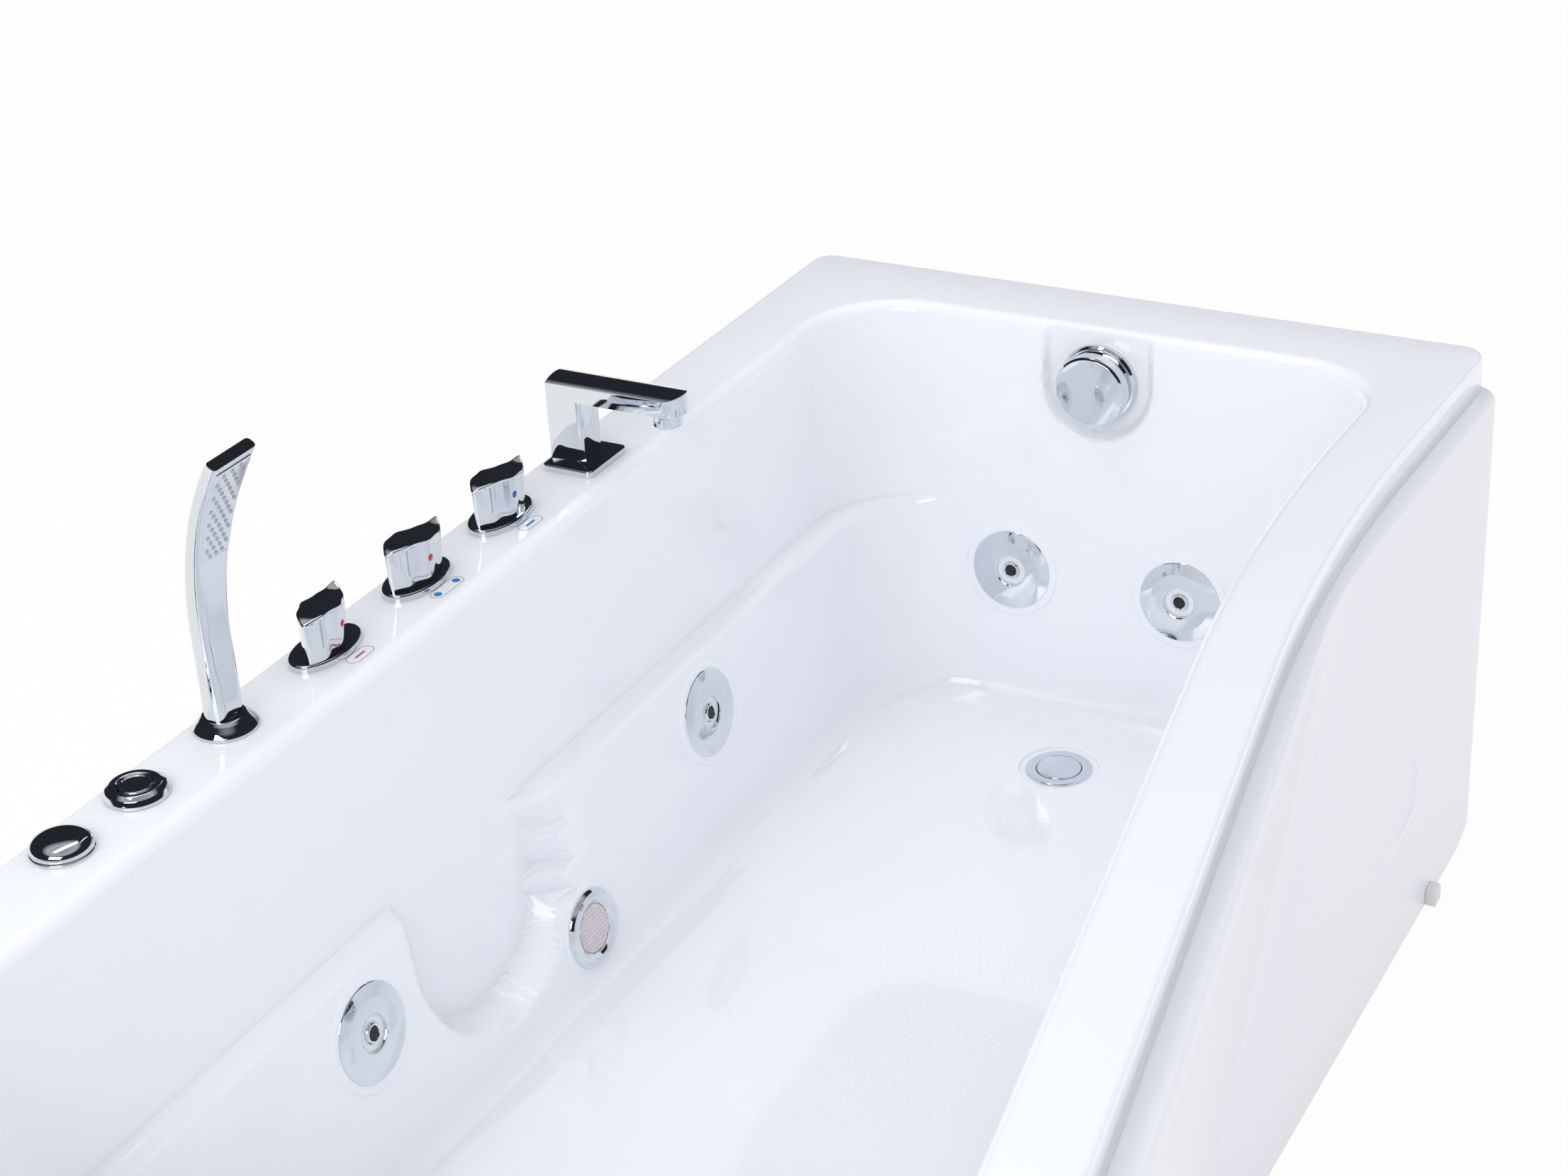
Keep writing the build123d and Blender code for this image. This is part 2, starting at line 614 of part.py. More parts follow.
def spout_body():
    """The spout: a square post with cut-away flanks under a flat arm with a crowned top."""
    half = SPOUT_SECTION / 2
    foot = SPOUT_PLATE[2]
    back, front = SPOUT_BACK, SPOUT_BACK - SPOUT_SECTION
    under = SPOUT_RISE - SPOUT_ARM
    post = Pos(0, (back + front) / 2, (foot + under + 3) / 2) * Box(
        SPOUT_SECTION, SPOUT_SECTION, under + 3 - foot)
    post = fillet(post.edges().filter_by(Axis.Z).group_by(Axis.Y)[0], 4)
    for side in (-1, 1):
        corner = Vector(side * half, back - 2, foot)
        level = Vector(side * half, front, foot + 0.52 * (under - foot))
        inner = Vector(side * (half - 5), front, foot)
        normal = (level - corner).cross(inner - corner).normalized()
        if normal.X * side < 0:
            normal = -normal
        flank = Plane(origin=corner, z_dir=normal)
        post = split(post, bisect_by=flank, keep=Keep.BOTTOM)
    straight = SPOUT_REACH - half
    plan = Pos(0, back - straight / 2) * Rectangle(SPOUT_SECTION, straight)
    plan += Pos(0, back - straight) * Circle(half)
    arm = Pos(0, 0, under) * extrude(plan, amount=SPOUT_ARM + SPOUT_CROWN)
    crown = (half ** 2 + SPOUT_CROWN ** 2) / (2 * SPOUT_CROWN)
    arm &= Pos(0, back - SPOUT_REACH / 2, SPOUT_RISE - crown + SPOUT_CROWN) * Rot(90, 0, 0) * Cylinder(
        crown, SPOUT_REACH + 10)
    shank = rod(VALVE_NECK, -VALVE_DROP, foot + 1)
    return post + arm + shank


def spout_aerator():
    """The round aerator under the spout's end, with its stepped mouth."""
    under = SPOUT_RISE - SPOUT_ARM
    low = under - AERATOR_DROP
    ring = revolved([(0, low + 3), (AERATOR_RADIUS - 4, low + 3), (AERATOR_RADIUS - 4, low),
                     (AERATOR_RADIUS - 1, low), (AERATOR_RADIUS, low + 1), (AERATOR_RADIUS, under),
                     (0, under)])
    return Pos(0, SPOUT_BACK - SPOUT_REACH + SPOUT_SECTION / 2 + 2, 0) * ring


def shower_line(rise):
    """Lean towards the basin and tilt of the hand shower's centre line at one height."""
    bend = SHOWER_HEIGHT - SHOWER_BEND_START
    radius = (bend ** 2 + SHOWER_LEAN ** 2) / (2 * SHOWER_LEAN)
    if rise <= SHOWER_BEND_START:
        return 0.0, 0.0
    up = rise - SHOWER_BEND_START
    tilt = asin(up / radius)
    return radius * (1 - cos(tilt)), degrees(tilt)


def shower_size(rise):
    """Width and depth of the hand shower at one height."""
    waist = SHOWER_HEIGHT * 0.4
    if rise < waist:
        share = rise / waist
        a, b = SHOWER_FOOT, SHOWER_WAIST
    else:
        share = (rise - waist) / (SHOWER_HEIGHT - waist)
        a, b = SHOWER_WAIST, SHOWER_HEAD
    return tuple(p + (q - p) * share for p, q in zip(a, b))


def shower_section(rise, proud=None):
    """A cross-section of the hand shower, or of the spray plate on its face."""
    lean, tilt = shower_line(rise)
    width, depth = shower_size(rise)
    plane = Plane(origin=(0, -lean, rise), x_dir=(1, 0, 0),
                  z_dir=(0, -sin(radians(tilt)), cos(radians(tilt))))
    if proud is None:
        return plane * RectangleRounded(width, depth, depth * 0.38)
    return plane * Pos(0, -depth / 2 - proud / 2 + 0.2) * RectangleRounded(width - 9, proud, 0.5)


def hand_shower():
    """The curved hand shower with the plug that stands in its collar."""
    low = COLLAR_HEIGHT + CLEAR
    heights = [low + (SHOWER_HEIGHT - low) * i / 8 for i in range(9)]
    body = loft([shower_section(h) for h in heights])
    body += rod(PLUG_RADIUS, COLLAR_HEIGHT - PLUG_DEPTH, low + 1)
    return body - spray_plate()


def spray_plate():
    """The thin plate of rubber nozzles on the hand shower's face."""
    top = SHOWER_HEIGHT - 6
    heights = [top - SPRAY_LENGTH + SPRAY_LENGTH * i / 4 for i in range(5)]
    return loft([shower_section(h, SPRAY_THICK) for h in heights])


def shower_collar():
    """The domed deck collar that the hand shower stands in, with its shank."""
    r, h = COLLAR_RADIUS, COLLAR_HEIGHT
    bore = PLUG_RADIUS + FIT
    return revolved([(bore, -60), (COLLAR_SHANK, -60), (COLLAR_SHANK, 0), (r, 0), (r, 3),
                     (r - 2, 6), (r - 7, h - 3), (r - 10, h), (bore, h)])


def button_ring():
    """The rounded ring round the air button, with its shank through the deck."""
    r, h = BUTTON_RING, BUTTON_RING_HEIGHT
    inner = BUTTON_RADIUS + FIT
    return revolved([(3.0, -30), (VALVE_NECK, -30), (VALVE_NECK, 0), (r, 0), (r, 3), (r - 2, 7.5),
                     (r - 6, h), (inner + 3, h), (inner, h - 2), (inner, 2), (3.0, 2)])


def button_cap():
    """The air button that is pressed down into its ring."""
    low = 2 + BUTTON_TRAVEL + 1.0
    top = BUTTON_RING_HEIGHT - 1
    return revolved([(0, -20), (3.0 - FIT, -20), (3.0 - FIT, low), (BUTTON_RADIUS, low),
                     (BUTTON_RADIUS, top - 1.5), (BUTTON_RADIUS - 3, top), (0, top + 0.8)])


def air_base():
    """The air control's base and its air tail through the deck."""
    r = AIR_DOME_RADIUS
    return revolved([(0, -45), (VALVE_NECK, -45), (VALVE_NECK, 0), (r, 0), (r, AIR_BASE_HEIGHT - 1),
                     (r - 1, AIR_BASE_HEIGHT), (STEM_RADIUS, AIR_BASE_HEIGHT),
                     (STEM_RADIUS, AIR_BASE_HEIGHT + 6), (0, AIR_BASE_HEIGHT + 6)])


def air_knob():
    """The domed air control that turns on its base."""
    r, low = AIR_DOME_RADIUS - 0.5, AIR_BASE_HEIGHT + CLEAR
    profile = [(STEM_RADIUS + FIT, low), (r, low), (r, low + 3)]
    for step in range(1, 6):
        turn = pi / 2 * step / 6
        profile.append((r * cos(turn), low + 3 + (AIR_DOME_HEIGHT - 3) * sin(turn)))
    under = AIR_BASE_HEIGHT + 7
    profile += [(0, low + AIR_DOME_HEIGHT), (0, under), (STEM_RADIUS + FIT, under)]
    return revolved(profile)


# Pipe runs behind the walls

def ring_corners():
    """The corners of the ring behind the walls: rear run, drain-end run, front run."""
    back = dict(zip(JET_NAMES, (behind(seat, RING_OFFSET) for seat in JET_SEATS)))
    front, far = back["front_drain_side"], back["front_head_side"]
    beyond = far + (far - front).normalized() * (JET_BODY + 10)
    return back["rear_drain_side"], back["end_rear_side"], front, beyond


def water_line():
    """The water ring's line from the pump's outlet past all the jets."""
    rear, end, front, beyond = ring_corners()
    x = -(PUMP_X + WET_END_LENGTH / 2)
    return [(x, WET_END_RADIUS + 3 - PUMP_Y, PUMP_HEIGHT), (x, rear.Y, PUMP_HEIGHT),
            (-REAR_JETS_X[1] - 134, rear.Y, rear.Z), (end.X, rear.Y, rear.Z), (end.X, front.Y, end.Z),
            tuple(front), tuple(beyond)]


def air_line():
    """The air pipe's line from the air control round the same jets, higher up."""
    rear, end, front, beyond = ring_corners()
    z = AIR_RING_HEIGHT
    return [(-AIR_CONTROL_X, -DECK_LINE, RIM_HEIGHT - AIR_VALVE_DROP - CLEAR),
            (-AIR_CONTROL_X, -DECK_LINE, z), (-AIR_CONTROL_X, rear.Y, z), (end.X, rear.Y, z),
            (end.X, front.Y, z), (front.X, front.Y, z), (beyond.X, beyond.Y, z)]


def suction_line():
    """The suction pipe's line from the suction fitting to the pump's inlet."""
    back = behind(SUCTION_SEAT, SUCTION_OFFSET)
    turn = PUMP_X - SUCTION_TURN
    return [(-PUMP_X, -PUMP_Y, PUMP_HEIGHT), (-turn, -PUMP_Y, PUMP_HEIGHT),
            (-turn, back.Y, PUMP_HEIGHT + 12), (-SUCTION_X - 60, back.Y, back.Z),
            (-SUCTION_X + 20, back.Y, back.Z)]


WATER_PIPE = pipe(water_line(), RING_RADIUS, 30, PIPE_WALL)
RING_SPACE = pipe(water_line(), RING_RADIUS + CLEAR, 30)
AIR_PIPE = pipe(air_line(), AIR_PIPE_RADIUS, 20, PIPE_WALL)
AIR_SPACE = pipe(air_line(), AIR_PIPE_RADIUS + CLEAR, 20)
SUCTION_PIPE = pipe(suction_line(), SUCTION_PIPE_RADIUS, 45, PIPE_WALL)
SUCTION_SPACE = pipe(suction_line(), SUCTION_PIPE_RADIUS + CLEAR, 45)


# Jets, light and suction

def jet_flange():
    """A jet's face ring: a shallow cone round the nozzle's socket, on a neck through the wall."""
    d, socket = JET_DISC, JET_BALL + CLEAR
    return revolved([(socket, -24), (JET_NECK, -24), (JET_NECK, 0), (d - 1.5, 0), (d, 1.5),
                     (d - 1.5, 3.0), (JET_RECESS + 1, JET_THICK), (JET_RECESS, JET_THICK - 0.6),
                     (socket - 0.5, 0.3), (socket - 0.5, -2), (socket, -2)])


def jet_nozzle():
    """The ball nozzle that swivels in the jet's socket."""
    ball = Pos(0, 0, -6) * Sphere(JET_BALL) + rod(JET_HOLE + 2.5, -6, JET_THICK - 1)
    ball = split(ball, bisect_by=Plane(origin=(0, 0, -14)), keep=Keep.TOP)
    return ball - rod(JET_HOLE, -20, JET_THICK + 1)


def jet_body(plane):
    """The jet's body behind the wall, saddled on the water ring, with its air boss."""
    rear = behind(plane, RING_OFFSET)
    body = plane.location * (rod(JET_BODY, -SHELL_WALL - 10, -SHELL_WALL - 2)
                             + rod(JET_BODY - 4, -RING_OFFSET, -SHELL_WALL - 9))
    body += Pos(rear.X, rear.Y, 0) * rod(AIR_PIPE_RADIUS + 3, rear.Z, AIR_RING_HEIGHT)
    return body - plane.location * rod(JET_NECK + CLEAR, -26, 0) - RING_SPACE - AIR_SPACE


def light_bezel():
    """The light's rounded ring and the tail of its housing through the wall."""
    r, lens = LIGHT_BEZEL, LIGHT_LENS + CLEAR
    return revolved([(lens, -18), (LIGHT_TAIL, -18), (LIGHT_TAIL, 0), (r, 0), (r, 2.5), (r - 3, 6),
                     (r - 8, 7.5), (lens + 3, 7), (lens, 4.5)])


def light_lens():
    """The clear lens of the light."""
    return revolved([(0, 0.5), (LIGHT_LENS, 0.5), (LIGHT_LENS, 4), (LIGHT_LENS - 3, 5), (0, 5.6)])


def light_housing():
    """The sealed lamp housing behind the wall."""
    return rod(LIGHT_TAIL + 6, -40, -SHELL_WALL - 3) - rod(LIGHT_TAIL + CLEAR, -19, 0)


def suction_cover():
    """The domed suction cover with its ring of inlet slots."""
    r = SUCTION_RADIUS
    cover = revolved([(0, 2), (r - 6, 2), (r - 6, 0), (r, 0), (r, 6), (r - 4, 11), (r - 16, 15),
                      (0, 17)])
    slot = Pos(r - 20, 0, 0) * extrude(SlotOverall(26, 5), amount=40)
    for place in PolarLocations(0, SUCTION_SLOTS):
        cover -= place * slot
    return cover


def suction_body():
    """The suction fitting behind the wall, saddled on the suction pipe."""
    fitting = rod(SUCTION_NECK, -20, 1.5)
    fitting += rod(SUCTION_NECK + 10, -SUCTION_OFFSET, -SHELL_WALL - 3)
    fitting -= rod(SUCTION_NECK - 5, -SUCTION_OFFSET + 20, 2)
    return SUCTION_SEAT.location * fitting - SUCTION_SPACE


# Overflow and drain

def overflow_flange():
    """The fixed ring behind the overflow knob, with its neck through the wall."""
    r = OVERFLOW_FLANGE
    return revolved([(OVERFLOW_HUB, 0), (OVERFLOW_NECK - 4, 0), (OVERFLOW_NECK - 4, -20),
                     (OVERFLOW_NECK, -20), (OVERFLOW_NECK, 0), (r, 0), (r, 4), (r - 3, 8),
                     (r - 12, 9), (OVERFLOW_HUB, 9)])


def overflow_knob():
    """The turning overflow knob that works the pop-up drain."""
    r, low = OVERFLOW_KNOB, 9 + CLEAR
    high = low + OVERFLOW_KNOB_DEPTH
    hub = OVERFLOW_HUB - FIT
    return revolved([(0, -12), (hub, -12), (hub, low), (r - 8, low),
                     (r - 6, low + 4), (r, low + 5), (r, high - 2.5), (r - 2.5, high), (0, high + 1)])


def overflow_elbow():
    """The elbow behind the wall that leads overflow water down."""
    base = -SHELL_WALL - CLEAR
    run = OVERFLOW_BACK - OVERFLOW_PIPE_X
    elbow = rod(WASTE_RADIUS + 8, base - 12, base) + rod(WASTE_RADIUS + 4, -run, base - 5)
    elbow -= rod(OVERFLOW_NECK + CLEAR, -22, 0)
    elbow = OVERFLOW_PLANE.location * elbow
    elbow += Pos(-OVERFLOW_PIPE_X, -OVERFLOW_Y, OVERFLOW_HEIGHT) * (
        rod(WASTE_RADIUS + 4, -40, 0) + Sphere(WASTE_RADIUS + 4))
    return elbow - Pos(-OVERFLOW_PIPE_X, -OVERFLOW_Y, OVERFLOW_HEIGHT) * rod(
        WASTE_RADIUS + CLEAR, -50, -22)


def overflow_pipe():
    """The pipe from the overflow's elbow down to the waste trap."""
    top = OVERFLOW_HEIGHT - 22 - CLEAR
    points = [(-OVERFLOW_PIPE_X, -OVERFLOW_Y, top), (-OVERFLOW_PIPE_X, -OVERFLOW_Y, WASTE_HEIGHT),
              (-DRAIN_X, -OVERFLOW_Y, WASTE_HEIGHT)]
    run = pipe(points, WASTE_RADIUS, 45, PIPE_WALL)
    trap = Pos(-DRAIN_X, -DRAIN_Y, 0)
    outlet = Pos(0, 0, WASTE_HEIGHT) * Rot(-90, 0, 0) * rod(WASTE_RADIUS + CLEAR, 0, DRAIN_Y)
    return run - trap * (rod(TRAP_RADIUS + CLEAR, 0, 100) + outlet)


def drain_flange():
    """The drain's flange in its dish, with the threaded tail through the shell."""
    r, t = DRAIN_FLANGE, DRAIN_TAIL
    ring = revolved([(t - 3, 66), (t, 66), (t, DRAIN_TOP), (r, DRAIN_TOP), (r, DRAIN_TOP + 1),
                     (r - 1.5, DRAIN_TOP + 2.5), (DRAIN_CAP + 1.2, DRAIN_TOP + 2.5),
                     (DRAIN_CAP + 0.6, DRAIN_TOP + 1.9), (DRAIN_CAP + 0.6, DRAIN_TOP - 1.5),
                     (t - 3, DRAIN_TOP - 1.5)])
    spider = Pos(0, 0, 80) * (Box(2 * t - 4, 6, 5) + Box(6, 2 * t - 4, 5) + Cylinder(8, 5))
    return ring + spider - rod(DRAIN_STEM + FIT, 60, 90)


def drain_cap():
    """The pop-up cap and its stem."""
    low = DRAIN_TOP - 1.5 + CLEAR
    return revolved([(0, 72), (DRAIN_STEM, 72), (DRAIN_STEM, low - 2), (DRAIN_TAIL - 4, low - 2),
                     (DRAIN_TAIL - 4, low), (DRAIN_CAP, low), (DRAIN_CAP, low + 3.4),
                     (DRAIN_CAP - 1.2, low + 4.4), (0, low + 5)])


def waste_trap():
    """The waste's low trap under the floor, with its outlet towards the rear wall."""
    cup = rod(TRAP_RADIUS, WASTE_HEIGHT - WASTE_RADIUS - 1, 84) + rod(DRAIN_TAIL + 5, 80,
                                                                   DRAIN_UNDER - CLEAR)
    cup -= rod(DRAIN_TAIL + CLEAR, 60, DRAIN_UNDER + 1)
    cup -= rod(TRAP_RADIUS - 5, WASTE_HEIGHT - WASTE_RADIUS + 4, 76)
    end = DRAIN_Y - WASTE_OUT
    outlet = rod(WASTE_RADIUS, TRAP_RADIUS - 3, end) + rod(WASTE_RADIUS + 3, end - SPIGOT - 8, end - SPIGOT)
    outlet = Pos(0, 0, WASTE_HEIGHT) * Rot(-90, 0, 0) * outlet
    return Pos(-DRAIN_X, -DRAIN_Y, 0) * (cup + outlet)


# Undercarriage

def support_board():
    """The board bonded under the floor, with a hole round the drain."""
    low = FLOOR_HEIGHT - SHELL_WALL - BOARD_THICK
    points = shift_edges(FLOOR_POINTS, [FLOOR_ROUND + 10] * 5)
    board = extrude(outline(points, [60, 60, BEND_RADIUS, 60, 60], low), amount=BOARD_THICK)
    return board - Pos(-DRAIN_X, -DRAIN_Y, 0) * rod(DRAIN_BOSS + 4, low - 1, FLOOR_HEIGHT)


def square_tube(length):
    """A square steel tube along X, centred."""
    outer = Box(length, RAIL, RAIL)
    return outer - Box(length + 2, RAIL - 2 * RAIL_WALL, RAIL - 2 * RAIL_WALL)


def frame_rails():
    """The two long rails under the board."""
    middle = -(RAIL_X[0] + RAIL_X[1]) / 2
    return [Pos(middle, -y, RAIL_HEIGHT + RAIL / 2) * square_tube(RAIL_X[1] - RAIL_X[0])
            for y in RAIL_Y]


def cross_members():
    """The cross tubes under the rails, holed for the feet."""
    middle = -(CROSS_Y[0] + CROSS_Y[1]) / 2
    tubes = []
    for x in CROSS_X:
        bar = Pos(-x, middle, CROSS_HEIGHT + RAIL / 2) * Rot(0, 0, 90) * square_tube(
            CROSS_Y[1] - CROSS_Y[0])
        for y in FOOT_Y:
            bar -= Pos(-x, -y, 0) * rod(FOOT_STEM + CLEAR, CROSS_HEIGHT - 1, CROSS_HEIGHT + RAIL / 2)
        tubes.append(bar)
    return tubes


def feet():
    """Screw feet under the ends of the cross tubes."""
    foot = revolved([(0, 0), (FOOT_RADIUS, 0), (FOOT_RADIUS, 4), (FOOT_RADIUS - 4, 9),
                     (FOOT_STEM, 12), (FOOT_STEM, CROSS_HEIGHT + RAIL - 6), (0, CROSS_HEIGHT + RAIL - 6)])
    return [Pos(-x, -y, 0) * foot for x in CROSS_X for y in FOOT_Y]


def foot_nuts():
    """Lock nuts on the screw feet, tight under the cross tubes."""
    nut = hex_nut(19, FOOT_STEM + CLEAR, CROSS_HEIGHT - 8, CROSS_HEIGHT)
    return [Pos(-x, -y, 0) * nut for x in CROSS_X for y in FOOT_Y]


# Pump and pipes

def pump_bracket():
    """The plate across the rails with two cradles for the pump's motor."""
    length = WET_END_LENGTH + MOTOR_LENGTH
    low = RAIL_HEIGHT + RAIL
    width = RAIL_Y[1] - RAIL_Y[0] + RAIL
    middle = -(PUMP_X + length / 2)
    plate = Pos(middle, -(RAIL_Y[0] + RAIL_Y[1]) / 2, low + 2) * Box(length, width, 4)
    for x in (PUMP_X + WET_END_LENGTH + 40, PUMP_X + length - 40):
        plate += Pos(-x, -PUMP_Y, low + 2) * Box(24, 1.6 * MOTOR_RADIUS, PUMP_HEIGHT - 24 - low,
                                                 align=(Align.CENTER, Align.CENTER, Align.MIN))
    cut = Pos(-PUMP_X - length / 2, -PUMP_Y, PUMP_HEIGHT) * Rot(0, 90, 0) * Cylinder(
        MOTOR_RADIUS + CLEAR, length + 10)
    return plate - cut


def pump_wet_end():
    """The pump's volute with its front inlet collar and side outlet."""
    side = Rot(0, 90, 0) * (rod(WET_END_RADIUS, -WET_END_LENGTH, 0) + rod(SUCTION_PIPE_RADIUS + 5, -5, 18))
    outlet = Rot(-90, 0, 0) * rod(RING_RADIUS + 5, WET_END_RADIUS - 10, WET_END_RADIUS + 8)
    volute = side + Pos(-WET_END_LENGTH / 2, 0, 0) * outlet
    volute = Pos(-PUMP_X, -PUMP_Y, PUMP_HEIGHT) * volute
    return volute - SUCTION_SPACE - RING_SPACE


def pump_motor():
    """The finned motor behind the volute, with its fan cover."""
    motor = rod(MOTOR_RADIUS - 4, 0, MOTOR_LENGTH)
    motor += rod(MOTOR_RADIUS, 0, 12) + rod(MOTOR_RADIUS, MOTOR_LENGTH - 45, MOTOR_LENGTH - 5)
    fin = Pos(MOTOR_RADIUS - 5, 0, MOTOR_LENGTH / 2 - 15) * Box(10, 3, MOTOR_LENGTH - 50)
    for place in PolarLocations(0, MOTOR_FINS):
        motor += place * fin
    return Pos(-PUMP_X - WET_END_LENGTH - CLEAR, -PUMP_Y, PUMP_HEIGHT) * Rot(0, -90, 0) * motor


def control_box():
    """The sealed control box on the last cross tube."""
    box = Box(*CONTROL_SIZE, align=(Align.CENTER, Align.CENTER, Align.MIN))
    box = fillet(box.edges().filter_by(Axis.Z), 10)
    return Pos(-CONTROL_X, -CONTROL_Y, CROSS_HEIGHT + RAIL) * box


def under_deck(radius, low, neck_low):
    """A body under the deck round the neck of a control."""
    return rod(radius, low, -UNDER_DECK) - rod(VALVE_NECK + CLEAR, neck_low - 1, 0)


# Parts, placed and exported

def group(shapes):
    """Several like pieces as one part."""
    return Compound(children=list(shapes))


def placed_parts():
    """Every part by name, in the drawing frame."""
    cold, diverter, hot = KNOB_XS
    spin = Rot(0, 0, KNOB_REST_TURN)
    over_plate = Pos(0, 0, PLATE_THICK)
    parts = {
        "tub_shell": tub_shell(), "front_panel": front_panel(), "panel_clip": panel_clip(),
        "support_board": support_board(), "frame_rails": group(frame_rails()),
        "frame_cross_members": group(cross_members()), "adjusting_feet": group(feet()),
        "foot_lock_nuts": group(foot_nuts()),
        "spout_base_plate": at_deck(SPOUT_X) * spout_plate(),
        "spout_body": at_deck(SPOUT_X) * spout_body(),
        "spout_aerator": at_deck(SPOUT_X) * spout_aerator(),
        "knob_plates": group(at_deck(x) * knob_plate() for x in KNOB_XS),
        "deck_lock_nuts": group(deck_nuts()), "mixing_pipes": group(mixing_pipes()),
        "hand_shower_body": at_deck(SHOWER_X) * hand_shower(),
        "hand_shower_spray_plate": at_deck(SHOWER_X) * spray_plate(),
        "hand_shower_collar": at_deck(SHOWER_X) * shower_collar(),
        "air_button_ring": at_deck(AIR_BUTTON_X) * button_ring(),
        "air_button_cap": at_deck(AIR_BUTTON_X) * button_cap(),
        "air_switch_body": at_deck(AIR_BUTTON_X) * under_deck(VALVE_RADIUS, -58, -30),
        "air_control_base": at_deck(AIR_CONTROL_X) * air_base(),
        "air_control_knob": at_deck(AIR_CONTROL_X) * air_knob(),
        "air_control_valve": at_deck(AIR_CONTROL_X) * under_deck(VALVE_RADIUS, -AIR_VALVE_DROP, -45),
        "jet_flanges": group(plane.location * jet_flange() for plane in JET_SEATS),
        "jet_bodies": group(jet_body(plane) for plane in JET_SEATS),
        "light_bezel": LIGHT_SEAT.location * light_bezel(),
        "light_lens": LIGHT_SEAT.location * light_lens(),
        "light_housing": LIGHT_SEAT.location * light_housing(),
        "suction_cover": SUCTION_SEAT.location * suction_cover(), "suction_body": suction_body(),
        "overflow_flange": OVERFLOW_PLANE.location * overflow_flange(),
        "overflow_knob": OVERFLOW_PLANE.location * overflow_knob(),
        "overflow_elbow": overflow_elbow(), "overflow_pipe": overflow_pipe(),
        "drain_flange": Pos(-DRAIN_X, -DRAIN_Y, 0) * drain_flange(),
        "drain_cap": Pos(-DRAIN_X, -DRAIN_Y, 0) * drain_cap(), "waste_trap": waste_trap(),
        "pump_motor": pump_motor(), "pump_wet_end": pump_wet_end(), "pump_bracket": pump_bracket(),
        "water_pipe": WATER_PIPE, "suction_pipe": SUCTION_PIPE, "air_pipe": AIR_PIPE,
        "control_box": control_box(),
    }
    for name, x in (("hot", hot), ("diverter", diverter), ("cold", cold)):
        turn = spin if name == "hot" else Rot(0, 0, 0)
        body = valve() if name == "diverter" else inlet(valve())
        parts[name + "_valve_body"] = at_deck(x) * body
        parts[name + "_knob"] = at_deck(x) * over_plate * turn * knob()
        parts[name + "_knob_mark"] = at_deck(x) * over_plate * turn * knob_mark()
    for name, plane in zip(JET_NAMES, JET_SEATS):
        parts["jet_nozzle_" + name] = plane.location * jet_nozzle()
    return parts


if __name__ == "__main__":
    os.makedirs("parts", exist_ok=True)
    PARTS = placed_parts()
    middle_y = -PARTS["front_panel"].bounding_box().min.Y / 2
    for name, shape in PARTS.items():
        export_step(Pos(RIM_LENGTH / 2, middle_y, 0) * shape, f"parts/{name}.step")
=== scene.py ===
"""Looks of the corner jetted bathtub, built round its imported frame.

Sizes are millimetres in the tub's drawing frame: zero at the rim's rear corner by the drain end,
-X towards the head end, -Y towards the front panel, +Z up from the floor.
"""
import logging
import math
from dataclasses import dataclass, field
from enum import Enum
from typing import Any, Callable, Iterable, Sequence

import bmesh
import bpy
from mathutils import Matrix, Vector


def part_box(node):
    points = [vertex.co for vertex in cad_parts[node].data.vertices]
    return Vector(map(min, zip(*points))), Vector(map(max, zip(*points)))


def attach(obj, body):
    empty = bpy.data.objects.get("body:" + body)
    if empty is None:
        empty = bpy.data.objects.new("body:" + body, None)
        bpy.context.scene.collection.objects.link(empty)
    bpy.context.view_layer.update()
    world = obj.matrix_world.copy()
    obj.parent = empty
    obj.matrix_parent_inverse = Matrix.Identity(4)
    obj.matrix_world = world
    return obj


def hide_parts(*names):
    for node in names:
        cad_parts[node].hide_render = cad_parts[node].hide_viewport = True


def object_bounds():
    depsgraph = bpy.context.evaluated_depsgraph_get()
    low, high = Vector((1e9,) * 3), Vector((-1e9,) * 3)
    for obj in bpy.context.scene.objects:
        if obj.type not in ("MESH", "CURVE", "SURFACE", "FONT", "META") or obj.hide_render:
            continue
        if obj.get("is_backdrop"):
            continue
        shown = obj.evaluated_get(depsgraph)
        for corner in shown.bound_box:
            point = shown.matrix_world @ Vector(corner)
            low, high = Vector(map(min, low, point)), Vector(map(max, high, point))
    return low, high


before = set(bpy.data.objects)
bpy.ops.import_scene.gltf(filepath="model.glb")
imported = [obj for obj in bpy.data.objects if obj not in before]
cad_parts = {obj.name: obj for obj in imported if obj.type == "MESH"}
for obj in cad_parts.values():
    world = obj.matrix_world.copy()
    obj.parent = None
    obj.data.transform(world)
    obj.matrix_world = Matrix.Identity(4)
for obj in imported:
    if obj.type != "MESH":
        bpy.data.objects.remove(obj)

LOG = logging.getLogger("bathtub")
MM = 0.001
# The drawing frame's zero: the shell's rear corner by the drain end
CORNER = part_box("tub_shell")[1]
# The deck above the room's floor, and the line along it where the fittings stand
DECK_HEIGHT = 590.0
DECK_LINE = -35.0
SMOOTH_ANGLE = math.radians(38.0)
CREASE_ANGLE = math.radians(50.0)
Pair = tuple[float, float]
Triple = tuple[float, float, float]


class Slot(Enum):
    """The record's material slots."""

    SHELL = "white_acrylic"
    PANEL = "panel_acrylic"
    WHITE = "white_plastic"
    GREY = "grey_plastic"
    CHROME = "chrome"
    BRASS = "brass"
    RED = "red_mark"
    BLUE = "blue_mark"
    NUBS = "grey_rubber"
    FEET = "foot_rubber"
    LENS = "clear_lens"
    BOARD = "board"
    STEEL = "galvanised_steel"
    MOTOR = "motor_metal"


# Small helpers on points and curves

